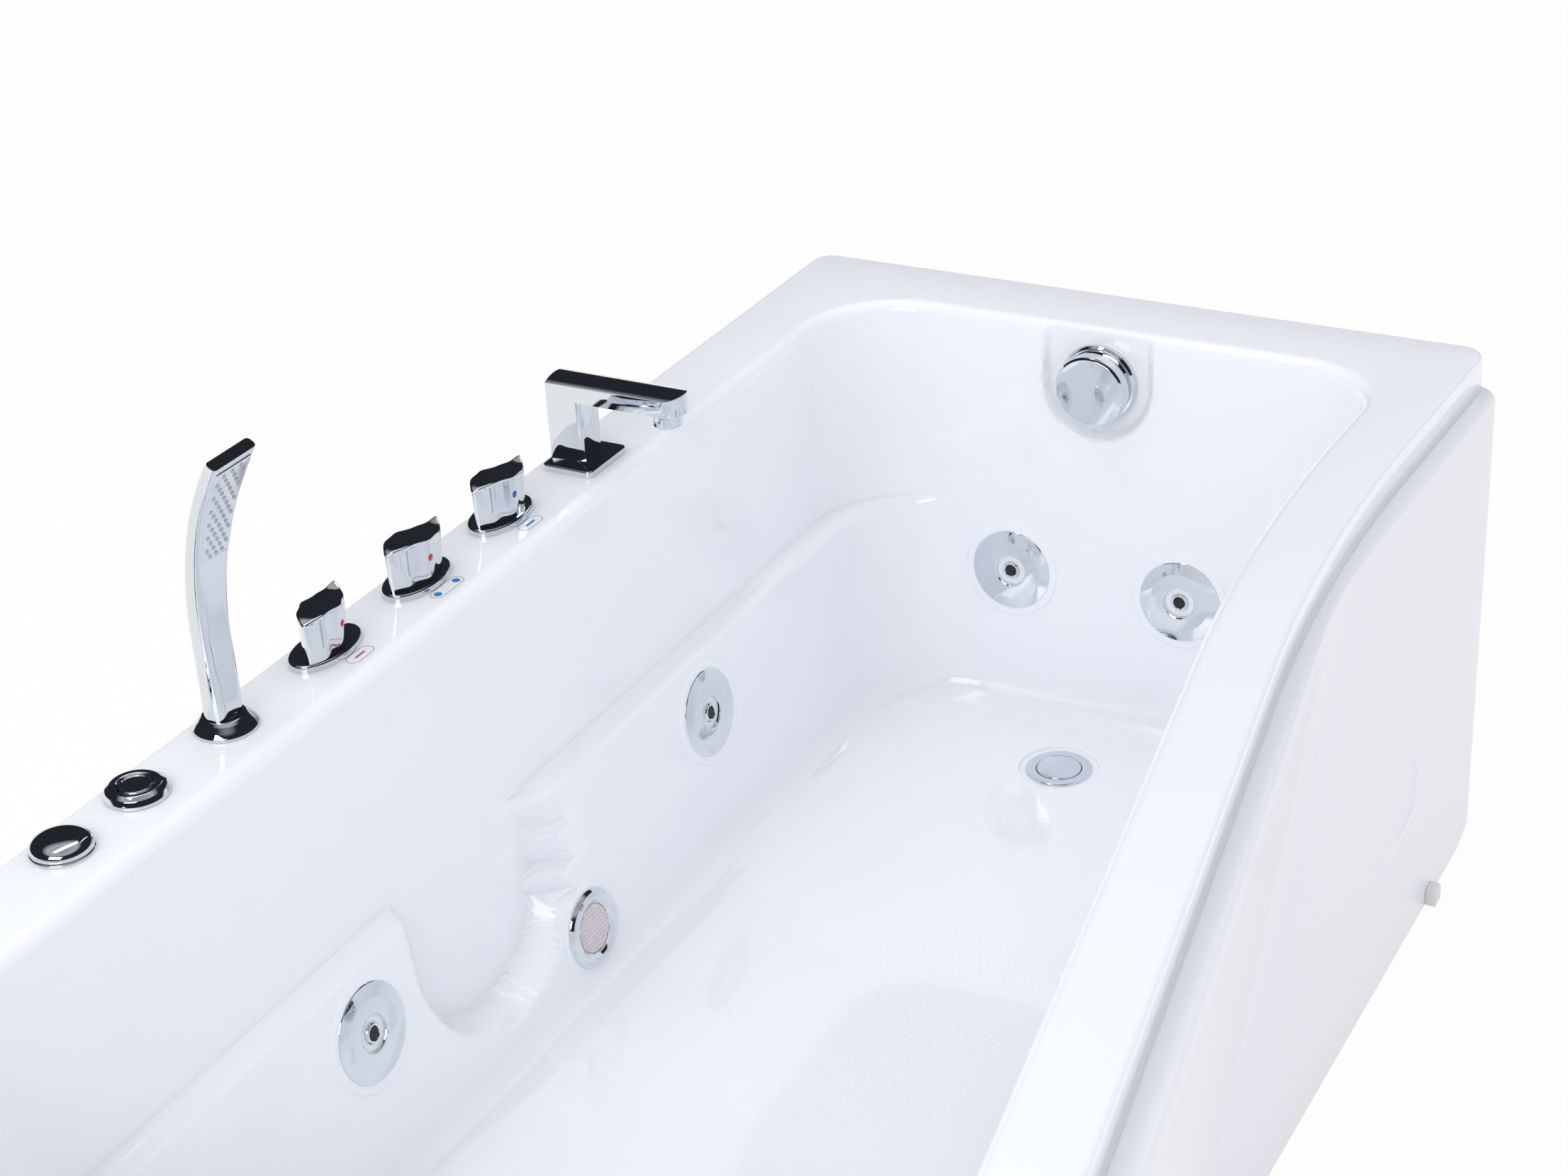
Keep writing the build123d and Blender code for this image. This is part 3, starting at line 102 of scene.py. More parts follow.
def in_frame(point: Sequence[float]) -> Vector:
    """Move a drawing point into the shared frame, in metres."""
    return Vector((point[0] * MM + CORNER.x, point[1] * MM + CORNER.y, point[2] * MM))


def ease(value: float) -> float:
    """Smooth step from 0 to 1 of a value that runs from 0 to 1."""
    t = min(1.0, max(0.0, value))
    return t * t * (3.0 - 2.0 * t)


def spread(start: float, end: float, count: int) -> list[float]:
    """Evenly spaced values from start to end, both included."""
    return [start + (end - start) * i / (count - 1) for i in range(count)]


def curve_value(knots: Sequence[Pair], at: float) -> float:
    """Height of a smooth curve through knots.

    Args:
        knots: Points of the curve, with rising first numbers.
        at: Place along the curve.

    Returns:
        The curve's second number at that place.
    """
    at = min(max(at, knots[0][0]), knots[-1][0])
    last = len(knots) - 1
    i = next(k for k in range(last) if at <= knots[k + 1][0])

    def slope(k: int) -> float:
        """Slope of the curve at one knot."""
        low, high = max(0, k - 1), min(last, k + 1)
        return (knots[high][1] - knots[low][1]) / (knots[high][0] - knots[low][0])

    (xa, ya), (xb, yb) = knots[i], knots[i + 1]
    step = xb - xa
    t = (at - xa) / step
    return ((2 * t**3 - 3 * t**2 + 1) * ya + (t**3 - 2 * t**2 + t) * step * slope(i)
            + (3 * t**2 - 2 * t**3) * yb + (t**3 - t**2) * step * slope(i + 1))


def soften(points: Sequence[Pair], radius: float, steps: int = 4, closed: bool = False) -> list[Pair]:
    """Round the corners of a profile.

    Args:
        points: The profile's corners.
        radius: Largest rounding; a short edge takes less.
        steps: Pieces in each rounding.
        closed: True if the profile's last point joins its first.

    Returns:
        The rounded profile.
    """
    made: list[Pair] = []
    count = len(points)
    for i, point in enumerate(points):
        if not closed and i in (0, count - 1):
            made.append(tuple(point))
            continue
        here = Vector(point)
        back, ahead = Vector(points[i - 1]) - here, Vector(points[(i + 1) % count]) - here
        angle = back.angle(ahead, math.pi)
        reach = min(radius / max(math.tan(angle / 2), 0.05), 0.45 * back.length, 0.45 * ahead.length)
        start, end = here + back.normalized() * reach, here + ahead.normalized() * reach
        for t in spread(0.0, 1.0, steps + 1):
            made.append(tuple(start.lerp(here, t).lerp(here.lerp(end, t), t)))
    return made


def shift_edges(points: Sequence[Pair], moves: Sequence[float]) -> list[Pair]:
    """Move each edge of an outline inwards by its own distance.

    Args:
        points: Corners of the outline, clockwise from above.
        moves: Distance for the edge that starts at each corner.

    Returns:
        The moved corners.
    """
    count = len(points)
    lines = []
    for i, move in enumerate(moves):
        (xa, ya), (xb, yb) = points[i], points[(i + 1) % count]
        length = math.hypot(xb - xa, yb - ya)
        nx, ny = (yb - ya) / length, -(xb - xa) / length
        lines.append((nx, ny, nx * xa + ny * ya + move))
    corners = []
    for i in range(count):
        (a, b, c), (d, e, f) = lines[i - 1], lines[i]
        det = a * e - b * d
        corners.append(((c * e - b * f) / det, (a * f - c * d) / det))
    return corners


def rounded_path(points: Sequence[Pair], radii: Sequence[float], stops: Sequence[Sequence[float]],
                 steps: Sequence[int], closed: bool = True) -> list[Pair]:
    """Points along a path with rounded corners, the same number for every size of the path.

    Args:
        points: The path's corners.
        radii: Rounding of each corner.
        stops: Places between the roundings, as shares of each straight edge.
        steps: Pieces in each rounding.
        closed: True if the last corner joins the first.

    Returns:
        The points in order.
    """
    count = len(points)
    arcs: list[list[Vector]] = []
    for i in range(count):
        here = Vector(points[i])
        if not closed and i in (0, count - 1):
            arcs.append([here])
            continue
        along = (here - Vector(points[i - 1])).normalized()
        away = (Vector(points[(i + 1) % count]) - here).normalized()
        turn = math.atan2(along.cross(away), along.dot(away))
        side = math.copysign(1.0, turn)
        start = here - along * (radii[i] * math.tan(abs(turn) / 2))
        centre = start + Vector((-along.y, along.x)) * (radii[i] * side)
        arm = start - centre
        arcs.append([])
        for k in range(steps[i] + 1):
            a = turn * k / steps[i]
            arcs[-1].append(centre + Vector((arm.x * math.cos(a) - arm.y * math.sin(a),
                                             arm.x * math.sin(a) + arm.y * math.cos(a))))
    made: list[Pair] = []
    for i in range(count if closed else count - 1):
        made += [tuple(p) for p in arcs[i]]
        end = arcs[(i + 1) % count][0]
        made += [tuple(arcs[i][-1].lerp(end, s)) for s in stops[i]]
    if not closed:
        made.append(tuple(arcs[-1][0]))
    return made


@dataclass(frozen=True)
class Seat:
    """Where a fitting stands and which way it faces."""

    origin: Triple
    out: Triple = (0.0, 0.0, 1.0)
    across: Triple | None = None

    def matrix(self) -> Matrix:
        """The move from the fitting's own millimetres to the drawing frame.

        Returns:
            A matrix whose Z is the way the fitting faces.
        """
        z = Vector(self.out).normalized()
        x = Vector(self.across) if self.across else Vector((0, 0, 1)).cross(z)
        x = (x - z * x.dot(z)).normalized()
        y = z.cross(x)
        return Matrix.Translation(self.origin) @ Matrix((x, y, z)).transposed().to_4x4()


# Shader graph

class Wire:
    """A shader socket that adds Math nodes when it is used in an expression."""

    def __init__(self, graph: "Graph", socket: bpy.types.NodeSocket) -> None:
        """Hold a socket of a graph."""
        self.graph = graph
        self.socket = socket

    def _maths(self, operation: str, first: Any, second: Any) -> "Wire":
        """Add one Math node."""
        node = self.graph.node("ShaderNodeMath", {"operation": operation}, {0: first, 1: second})
        return node(0)

    def __add__(self, other: Any) -> "Wire":
        """Sum."""
        return self._maths("ADD", self, other)

    def __radd__(self, other: Any) -> "Wire":
        """Reflected sum."""
        return self._maths("ADD", other, self)

    def __sub__(self, other: Any) -> "Wire":
        """Difference."""
        return self._maths("SUBTRACT", self, other)

    def __rsub__(self, other: Any) -> "Wire":
        """Reflected difference."""
        return self._maths("SUBTRACT", other, self)

    def __mul__(self, other: Any) -> "Wire":
        """Product."""
        return self._maths("MULTIPLY", self, other)

    def __rmul__(self, other: Any) -> "Wire":
        """Reflected product."""
        return self._maths("MULTIPLY", other, self)

    def at_least(self, other: Any) -> "Wire":
        """The larger of two values."""
        return self._maths("MAXIMUM", self, other)


class Graph:
    """The node tree of one material or of the world."""

    def __init__(self, owner: Any) -> None:
        """Empty the owner's tree and keep it.

        Args:
            owner: A material or a world.
        """
        owner.use_nodes = True
        self.tree = owner.node_tree
        self.tree.nodes.clear()

    def node(self, kind: str, settings: dict[str, Any] | None = None,
             inputs: dict[Any, Any] | None = None) -> Callable[[Any], Wire]:
        """Add a node.

        Args:
            kind: Blender's name for the node type.
            settings: Properties, set first; "stops" fills a colour ramp.
            inputs: Values or wires by socket name or number.

        Returns:
            A function that gives the node's output by name or number.
        """
        node = self.tree.nodes.new(kind)
        for name, value in (settings or {}).items():
            if name == "stops":
                ramp = node.color_ramp.elements
                while len(ramp) < len(value):
                    ramp.new(0.5)
                for element, (at, colour) in zip(ramp, value):
                    element.position, element.color = at, colour
            else:
                setattr(node, name, value)
        for name, value in (inputs or {}).items():
            if isinstance(value, Wire):
                self.tree.links.new(value.socket, node.inputs[name])
            else:
                node.inputs[name].default_value = value
        return lambda out: Wire(self, node.outputs[out])

    def place(self) -> Wire:
        """Object coordinates."""
        return self.node("ShaderNodeTexCoord")("Object")

    def noise(self, scale: float, detail: float = 2.0) -> Wire:
        """Noise on object coordinates."""
        return self.node("ShaderNodeTexNoise", {}, {"Vector": self.place(), "Scale": scale,
                                                    "Detail": detail})(0)

    def blend(self, factor: Any, first: Any, second: Any) -> Wire:
        """Mix two colours."""
        return self.node("ShaderNodeMix", {"data_type": "RGBA"},
                         {0: factor, 6: first, 7: second})(2)

    def bump(self, height: Wire, strength: float, distance: float) -> Wire:
        """A bump that feeds Normal."""
        return self.node("ShaderNodeBump", {}, {"Height": height, "Strength": strength,
                                                "Distance": distance})("Normal")

    def surface(self, inputs: dict[str, Any]) -> None:
        """End the graph in a Principled surface."""
        shader = self.node("ShaderNodeBsdfPrincipled", {}, inputs)("BSDF")
        self.node("ShaderNodeOutputMaterial", {}, {"Surface": shader})


def rgba(colour: Triple) -> tuple[float, float, float, float]:
    """A colour with full alpha."""
    return (*colour, 1.0)


@dataclass(frozen=True)
class Finish:
    """A finish: colour that varies a little, gloss and a fine surface grain."""

    name: str
    slot: Slot
    colour: Triple
    second: Triple
    metallic: float = 0.0
    roughness: float = 0.3
    rough_spread: float = 0.03
    mottle: float = 12.0
    grain: float = 400.0
    grain_height: float = 0.00002
    grain_strength: float = 0.15
    coat: float = 0.0
    ior: float = 1.5

    def _height(self, graph: Graph) -> Wire:
        """Height of the surface grain."""
        return graph.noise(self.grain, 3.0)

    def _mottle(self, graph: Graph) -> Wire:
        """Where the second colour shows."""
        return graph.noise(self.mottle, 3.0)

    def material(self) -> bpy.types.Material:
        """The finish as a material, made once.

        Returns:
            The material, new or made before.
        """
        known = bpy.data.materials.get(self.name)
        if known:
            return known
        made = bpy.data.materials.new(self.name)
        graph = Graph(made)
        mottle = self._mottle(graph)
        graph.surface({
            "Base Color": graph.blend(mottle, rgba(self.colour), rgba(self.second)),
            "Roughness": mottle * (2 * self.rough_spread) + (self.roughness - self.rough_spread),
            "Metallic": self.metallic,
            "IOR": self.ior,
            "Coat Weight": self.coat,
            "Coat Roughness": 0.03,
            "Normal": graph.bump(self._height(graph), self.grain_strength, self.grain_height),
        })
        return made


@dataclass(frozen=True)
class Spangle(Finish):
    """Zinc coating with its crystals."""

    def _mottle(self, graph: Graph) -> Wire:
        """Flat crystals of many greys.

        Args:
            graph: The material's graph.

        Returns:
            A number that differs from crystal to crystal.
        """
        cells = graph.node("ShaderNodeTexVoronoi", {}, {"Vector": graph.place(), "Scale": self.mottle})
        parts = graph.node("ShaderNodeSeparateColor", {}, {"Color": cells("Color")})
        return parts("Red")


@dataclass(frozen=True)
class ChipBoard(Finish):
    """Pressed board with chips of wood."""

    def _mottle(self, graph: Graph) -> Wire:
        """Chips over a finer grain."""
        cells = graph.node("ShaderNodeTexVoronoi", {"feature": "SMOOTH_F1"},
                           {"Vector": graph.place(), "Scale": self.mottle})
        return cells("Distance") * 0.8 + graph.noise(self.grain) * 0.4


ACRYLIC = Finish("gloss_acrylic", Slot.SHELL, (0.905, 0.925, 0.975), (0.915, 0.935, 0.98), roughness=0.10,
                 rough_spread=0.02, mottle=3.0, grain=45.0, grain_height=0.0002, grain_strength=0.05,
                 coat=0.35)
# The panel's own tint is a pale lavender grey; its darker level is painted shade, as if the panel stood out
# of the light.
SHADED_PANEL_ACRYLIC = Finish("panel_acrylic", Slot.PANEL, (0.62, 0.628, 0.685), (0.64, 0.648, 0.705),
                       roughness=0.12, rough_spread=0.02, mottle=2.5, grain=35.0, grain_height=0.0002,
                       grain_strength=0.06, coat=0.35)
# The rib is moulded in the panel itself; its lighter colour is a painted highlight on its lit curve.
RIB_PAINTED_HIGHLIGHT = Finish("rib_painted_highlight", Slot.PANEL, (0.88, 0.89, 0.94), (0.90, 0.91, 0.95), roughness=0.12,
                     rough_spread=0.02, mottle=2.5, grain=35.0, grain_height=0.0002, grain_strength=0.06,
                     coat=0.35)
CHROME = Finish("polished_chrome", Slot.CHROME, (0.76, 0.79, 0.82), (0.72, 0.75, 0.78), metallic=1.0,
                roughness=0.045, rough_spread=0.015, mottle=30.0, grain=900.0, grain_height=0.000005,
                grain_strength=0.05)
SATIN_CHROME = Finish("satin_chrome", Slot.CHROME, (0.76, 0.79, 0.83), (0.72, 0.75, 0.79), metallic=1.0,
                      roughness=0.16, rough_spread=0.03, mottle=60.0, grain=1400.0,
                      grain_height=0.000008, grain_strength=0.1)
RED = Finish("red_enamel", Slot.RED, (0.62, 0.02, 0.03), (0.50, 0.01, 0.02), roughness=0.12, coat=0.8)
BLUE = Finish("blue_enamel", Slot.BLUE, (0.02, 0.07, 0.50), (0.01, 0.04, 0.40), roughness=0.12, coat=0.8)
PALE_BLUE = Finish("pale_blue_print", Slot.BLUE, (0.03, 0.22, 0.60), (0.03, 0.26, 0.62), roughness=0.3)
PRINT_GREY = Finish("grey_print", Slot.SHELL, (0.30, 0.36, 0.47), (0.34, 0.40, 0.50), roughness=0.3)
PRINT_RED = Finish("red_print", Slot.RED, (0.62, 0.18, 0.22), (0.58, 0.15, 0.20), roughness=0.3)
NUBS = Finish("nozzle_rubber", Slot.NUBS, (0.46, 0.49, 0.53), (0.42, 0.45, 0.49), roughness=0.4,
              mottle=80.0, grain=1800.0)
WHITE = Finish("white_moulding", Slot.WHITE, (0.80, 0.81, 0.82), (0.74, 0.75, 0.77), roughness=0.38,
               mottle=14.0, grain=1500.0, grain_height=0.00004, grain_strength=0.25)
GREY = Finish("grey_moulding", Slot.GREY, (0.075, 0.08, 0.088), (0.055, 0.058, 0.064), roughness=0.5,
              mottle=18.0, grain=1800.0, grain_height=0.00005, grain_strength=0.3)
# Near black for painted shade: a disc over each jet's bore and a ring in the gap round each ball, where
# only shade falls.
PAINTED_SHADE_BLACK = Finish("painted_shade_black", Slot.GREY, (0.012, 0.012, 0.014), (0.02, 0.02, 0.022), roughness=0.6)
BRASS = Finish("turned_brass", Slot.BRASS, (0.62, 0.43, 0.17), (0.50, 0.34, 0.13), metallic=1.0,
               roughness=0.28, mottle=40.0, grain=1200.0)
RUBBER = Finish("foot_rubber", Slot.FEET, (0.022, 0.022, 0.023), (0.035, 0.035, 0.036), roughness=0.7,
                mottle=30.0, grain=900.0, grain_height=0.0001, grain_strength=0.3)
STEEL = Spangle("galvanised_steel", Slot.STEEL, (0.46, 0.48, 0.50), (0.62, 0.63, 0.65), metallic=1.0,
                roughness=0.36, rough_spread=0.08, mottle=110.0, grain=700.0)
BOARD = ChipBoard("chip_board", Slot.BOARD, (0.34, 0.22, 0.12), (0.62, 0.46, 0.28), roughness=0.7,
                  mottle=160.0, grain=420.0, grain_height=0.0003, grain_strength=0.4)
MOTOR = Finish("motor_paint", Slot.MOTOR, (0.035, 0.038, 0.045), (0.05, 0.053, 0.06), roughness=0.42,
               mottle=20.0, grain=600.0, grain_height=0.00008, grain_strength=0.3, coat=0.1)
LENS = Finish("lamp_lens", Slot.LENS, (0.70, 0.62, 0.66), (0.80, 0.74, 0.77), roughness=0.12,
              mottle=150.0, coat=0.6)


# Mesh building

class Shape:
    """A mesh made from rings of points, in its seat's millimetres."""

    def __init__(self, name: str, seat: Seat | None = None) -> None:
        """Start an empty shape.

        Args:
            name: Name of the finished piece.
            seat: Where the shape stands; without one it is drawn in place.
        """
        self.name = name
        self.move = seat.matrix() if seat else Matrix.Identity(4)
        self.points: list[Vector] = []
        self.faces: list[list[int]] = []

    def ring(self, points: Iterable[Sequence[float]]) -> list[int]:
        """Add points.

        Args:
            points: Points in the seat's millimetres.

        Returns:
            The numbers of the new points.
        """
        start = len(self.points)
        self.points += [self.move @ Vector(p) for p in points]
        return list(range(start, len(self.points)))

    def band(self, low: Sequence[int], high: Sequence[int], closed: bool = True) -> None:
        """Join two rings by faces; a ring of one point is a pole.

        Args:
            low: Numbers of the first ring's points.
            high: Numbers of the second ring's points.
            closed: True if a ring's last point joins its first.
        """
        count = max(len(low), len(high))
        for i in range(count if closed else count - 1):
            j = (i + 1) % count
            face = [low[i % len(low)], low[j % len(low)], high[j % len(high)], high[i % len(high)]]
            self.faces.append(list(dict.fromkeys(face)))

    def stack(self, rings: Sequence[Sequence[int]], closed: bool = True, loop: bool = False) -> None:
        """Join rings in order.

        Args:
            rings: Numbers of each ring's points.
            closed: True if a ring's last point joins its first.
            loop: True if the last ring joins the first.
        """
        for low, high in zip(rings, rings[1:]):
            self.band(low, high, closed)
        if loop:
            self.band(rings[-1], rings[0], closed)

    def lid(self, ring: Sequence[int]) -> None:
        """Close a ring with one face."""
        self.faces.append(list(ring))

    def lathe(self, profile: Sequence[Pair], segments: int = 64, loop: bool = False) -> None:
        """Turn a profile of radius and height about the seat's axis.

        Args:
            profile: Radius and height of each ring.
            segments: Points in each ring.
            loop: True if the profile's end joins its start.
        """
        rings = []
        for r, z in profile:
            count = segments if r > 1e-6 else 1
            angles = [math.tau * i / count for i in range(count)]
            rings.append(self.ring((r * math.cos(a), r * math.sin(a), z) for a in angles))
        self.stack(rings, loop=loop)

    def mesh(self, angle: float = SMOOTH_ANGLE) -> bpy.types.Mesh:
        """The shape as a clean mesh in the shared frame, with outward faces.

        Args:
            angle: Edges that turn more than this stay sharp.

        Returns:
            The mesh.
        """
        made = bpy.data.meshes.new(self.name)
        made.from_pydata([in_frame(p) for p in self.points], [], self.faces)
        return tidy(made, angle)


def tidy(mesh: bpy.types.Mesh, angle: float = SMOOTH_ANGLE, merge: float = 2e-6) -> bpy.types.Mesh:
    """Merge doubles, turn faces outwards and smooth all but sharp edges.

    Args:
        mesh: The mesh, changed in place.
        angle: Edges that turn more than this stay sharp.
        merge: Points nearer than this become one, in metres.

    Returns:
        The same mesh.
    """
    work = bmesh.new()
    work.from_mesh(mesh)
    bmesh.ops.remove_doubles(work, verts=work.verts, dist=merge)
    bmesh.ops.recalc_face_normals(work, faces=work.faces)
    work.to_mesh(mesh)
    work.free()
    mesh.shade_smooth()
    mesh.set_sharp_from_angle(angle=angle)
    return mesh


def put(mesh: bpy.types.Mesh, name: str, finish: Finish, body: str = "tub",
        stands_for: Sequence[str] = ()) -> bpy.types.Object:
    """Make a piece of a mesh.

    Args:
        mesh: The piece's mesh, in the shared frame.
        name: The piece's name.
        finish: Its finish.
        body: The CAD body that it moves with.
        stands_for: CAD nodes that it replaces.

    Returns:
        The finished piece.
    """
    piece = bpy.data.objects.new(name, mesh)
    bpy.context.scene.collection.objects.link(piece)
    mesh.materials.clear()
    mesh.materials.append(finish.material())
    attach(piece, body)
    if stands_for:
        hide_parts(*stands_for)
    LOG.info("piece %s: %d faces on %s", name, len(mesh.polygons), body)
    return piece


def deck_seat(x: float, lift: float = 0.0, turn: float = 0.0) -> Seat:
    """The seat of a deck fitting at a distance from the drain end, turned about the vertical."""
    a = math.radians(turn)
    return Seat((-x, DECK_LINE, DECK_HEIGHT + lift), (0, 0, 1), (math.cos(a), math.sin(a), 0))


# The tub

@dataclass
class TubShell:
    """The acrylic shell: deck, basin, armrest ledge, scoop, overflow recess and drain dish."""

    rim_points: tuple[Pair, ...] = ((0, 0), (0, -800), (-500, -784), (-1830, -1004.6), (-1830, 0))
    rim_radii: tuple[float, ...] = (26, 26, 2500, 110, 26)
    mouth_radii: tuple[float, ...] = (100, 90, 2500, 190, 170)
    ledge_radii: tuple[float, ...] = (110, 100, 2500, 170, 125)
    floor_radii: tuple[float, ...] = (120, 110, 2500, 150, 140)
    floor_points: tuple[Pair, ...] = ((-140, -162), (-140, -648), (-500, -647), (-1300, -654),
                                      (-1300, -162))
    decks: tuple[float, ...] = (104, 74, 74, 90, 92)
    rim_height: float = DECK_HEIGHT
    lip: float = 42.0
    lip_edge: float = 1.5
    wall: float = 6.0
    edge_round: float = 7.0
    mouth_round: float = 13.0
    floor_height: float = 118.0
    floor_round: float = 34.0
    lower_rows: Pair = (200.0, 205.0)
    upper_rows: Pair = (455.0, 459.0)
    fold: float = 1620.0
    ledge_height: float = 360.0
    ledge_roll: float = 16.0
    ledge_width: float = 22.0
    draft: float = 10.0
    ramp_start: float = 955.0
    ramp_slope: float = 24.0 / 405.0
    ramp_ease: float = 60.0
    ramp_soft: float = 2.0
    ramp_fade: float = 20.0
    relief_reach: float = 300.0
    scoop_x: Pair = (853.0, 1081.0)
    scoop_bottom: float = 178.0
    scoop_step: float = 0.3
    scoop_soft: float = 11.0
    recess_y: float = 396.0
    recess_z: float = 526.0
    recess_half: float = 62.0
    recess_back: float = 100.0
    recess_soft: float = 7.0
    drain: Pair = (-254.0, -410.0)
    dish: float = 45.0
    dish_depth: float = 3.0
    dish_border: float = 8.0
    dish_round: float = 1.4
    hole: float = 28.0
    boss: float = 49.0
    boss_under: float = 106.0
    corner_steps: tuple[int, ...] = (12, 12, 10, 14, 12)
    stops: list[list[float]] = field(init=False)

    def __post_init__(self) -> None:
        """Set where the rings have their points: dense by the recess and the scoop."""
        far = spread(0.07, 0.24, 4) + spread(0.28, 0.64, 42) + spread(0.70, 0.93, 4)
        front, flare, head = spread(0.08, 0.92, 10), spread(0.03, 0.97, 32), spread(0.06, 0.94, 14)
        rear = [0.02] + spread(0.04, 0.43, 92) + spread(0.46, 0.97, 20)
        self.stops = [far, front, flare, head, rear]

    def outline(self, points: Sequence[Pair], radii: Sequence[float]) -> list[Pair]:
        """One ring of points on an outline."""
        return rounded_path(points, radii, self.stops, self.corner_steps)

    def backrest(self, height: float) -> float:
        """The backrest's distance from the drain end, above its fold.

        Args:
            height: Height above the room's floor.

        Returns:
            The distance.
        """
        mouth = -self.rim_points[3][0] - self.decks[3]
        share = (height - self.ledge_height) / (self.rim_height - self.ledge_height)
        return self.fold + (mouth - self.fold) * share

    def upper(self, height: float, inwards: float = 0.0, extra: float = 0.0) -> list[Pair]:
        """Corners of the basin above the ledge.

        Args:
            height: Height of the ring.
            inwards: How far the front and rear edges move in.
            extra: How far every edge moves in.

        Returns:
            The ring's corners.
        """
        drop = (self.rim_height - height) / (self.rim_height - self.ledge_height) * self.draft
        far, front, _, _, rear = self.decks
        head = -self.rim_points[3][0] - self.backrest(height)
        moves = (far + 1.8 * drop, front + drop + inwards, front + drop + inwards, head,
                 rear + drop + inwards)
        return shift_edges(self.rim_points, [m + extra for m in moves])

    def lower(self, height: float, extra: float, wall: float) -> list[Pair]:
        """One ring of the basin below the ledge.

        Args:
            height: Height of the ring.
            extra: How far the rounding at the floor moves it in.
            wall: Zero inside, the shell's thickness outside.

        Returns:
            The ring's points.
        """
        top = self.ledge_height - self.ledge_roll
        share = (height - self.floor_height) / (top - self.floor_height)
        ledge = self.upper(top, self.ledge_width)
        points = [(f[0] + (e[0] - f[0]) * share, f[1] + (e[1] - f[1]) * share)
                  for f, e in zip(self.floor_points, ledge)]
        radii = [f + (e - f) * share - extra + wall
                 for f, e in zip(self.floor_radii, self.ledge_radii)]
        return self.outline(shift_edges(points, [extra - wall] * len(points)), radii)

    def relief(self, point: Triple, wall: float) -> Triple:
        """Push a wall point back into the scoop and the overflow recess, and up onto the ramp.

        Args:
            point: A point of the plain basin.
            wall: Zero inside, the shell's thickness outside.

        Returns:
            The point of the real basin.
        """
        x, y, z = point
        half = (self.scoop_x[1] - self.scoop_x[0]) / 2
        cx, cz = -(self.scoop_x[0] + self.scoop_x[1]) / 2, self.scoop_bottom + half
        out = (math.hypot(x - cx, z - cz) if z < cz else abs(x - cx)) - half - wall
        lean = self.draft / (self.rim_height - self.ledge_height)
        back = wall - self.scoop_step - self.decks[4] - lean * (self.rim_height - z)
        if -self.relief_reach < y < back:
            y += (back - y) * ease(0.5 - out / self.scoop_soft)
        out = (math.hypot(y + self.recess_y, z - self.recess_z) if z < self.recess_z
               else abs(y + self.recess_y)) - self.recess_half - wall
        back = -self.recess_back + wall
        if -self.relief_reach < x < back:
            x += (back - x) * ease(0.5 - out / self.recess_soft)
        run = -x - self.ramp_start
        if run > 0 and not wall and z < self.ledge_height:
            rise = run - self.ramp_ease / 2 if run > self.ramp_ease else run * run / (2 * self.ramp_ease)
            low = self.floor_height + self.ramp_slope * rise
            gap, soft = z - low, self.ramp_soft
            settle = soft if gap < 0.5 else soft * math.exp(-gap / self.ramp_fade)
            z = low + (gap + math.sqrt(gap * gap + 4 * soft * soft)) / 2 - settle
        return (x, y, z)

    def basin_rings(self, wall: float) -> list[list[Triple]]:
        """Rings of the basin from the floor's edge to the mouth.

        Args:
            wall: Zero inside, the shell's thickness outside.

        Returns:
            The rings in order.
        """
        fine = wall == 0.0
        rings: list[list[Triple]] = []

        def add(ring: Sequence[Pair], height: float) -> None:
            """Add a ring at one height, pushed into the reliefs."""
            rings.append([self.relief((x, y, height), wall) for x, y in ring])

        for a in spread(0.0, math.pi / 2, 9 if fine else 5):
            height = self.floor_height + self.floor_round * (1 - math.cos(a))
            add(self.lower(height, self.floor_round * (1 - math.sin(a)), wall), height - wall)
        first, top = self.floor_height + self.floor_round, self.ledge_height - self.ledge_roll
        if fine:
            heights = spread(first + 4, self.lower_rows[0], 13) + spread(self.lower_rows[1], top - 3, 26)
        else:
            heights = spread(first + 8, top - 8, 14)
        for height in heights:
            add(self.lower(height, 0.0, wall), height - wall)
        for a in spread(0.0, math.pi / 2, 9 if fine else 5):
            height = self.ledge_height - self.ledge_roll * (1 - math.sin(a))
            corners = self.upper(height, self.ledge_width * math.cos(a), -wall)
            add(self.outline(corners, [r + wall for r in self.ledge_radii]), height - wall)
        last = self.rim_height - self.mouth_round
        if fine:
            heights = (spread(self.ledge_height + 3, self.upper_rows[0], 10)
                       + spread(self.upper_rows[1], last, 32))
        else:
            heights = spread(self.ledge_height + 10, last, 14)
        for height in heights:
            share = (height - self.ledge_height) / (last - self.ledge_height)
            radii = [e + (m - e) * share + wall for e, m in zip(self.ledge_radii, self.mouth_radii)]
            level = height - wall * (1 - share)
            add(self.outline(self.upper(height, 0, -wall), radii), level)
        if fine:
            for a in spread(0.0, math.pi / 2, 9)[1:]:
                flare = self.mouth_round * (1 - math.cos(a))
                height = last + self.mouth_round * math.sin(a)
                radii = [r + flare for r in self.mouth_radii]
                add(self.outline(self.upper(height, 0, -flare), radii), height)
        else:
            radii = [r + wall for r in self.mouth_radii]
            add(self.outline(self.upper(self.rim_height, 0, -wall), radii), self.rim_height - wall)
        return rings

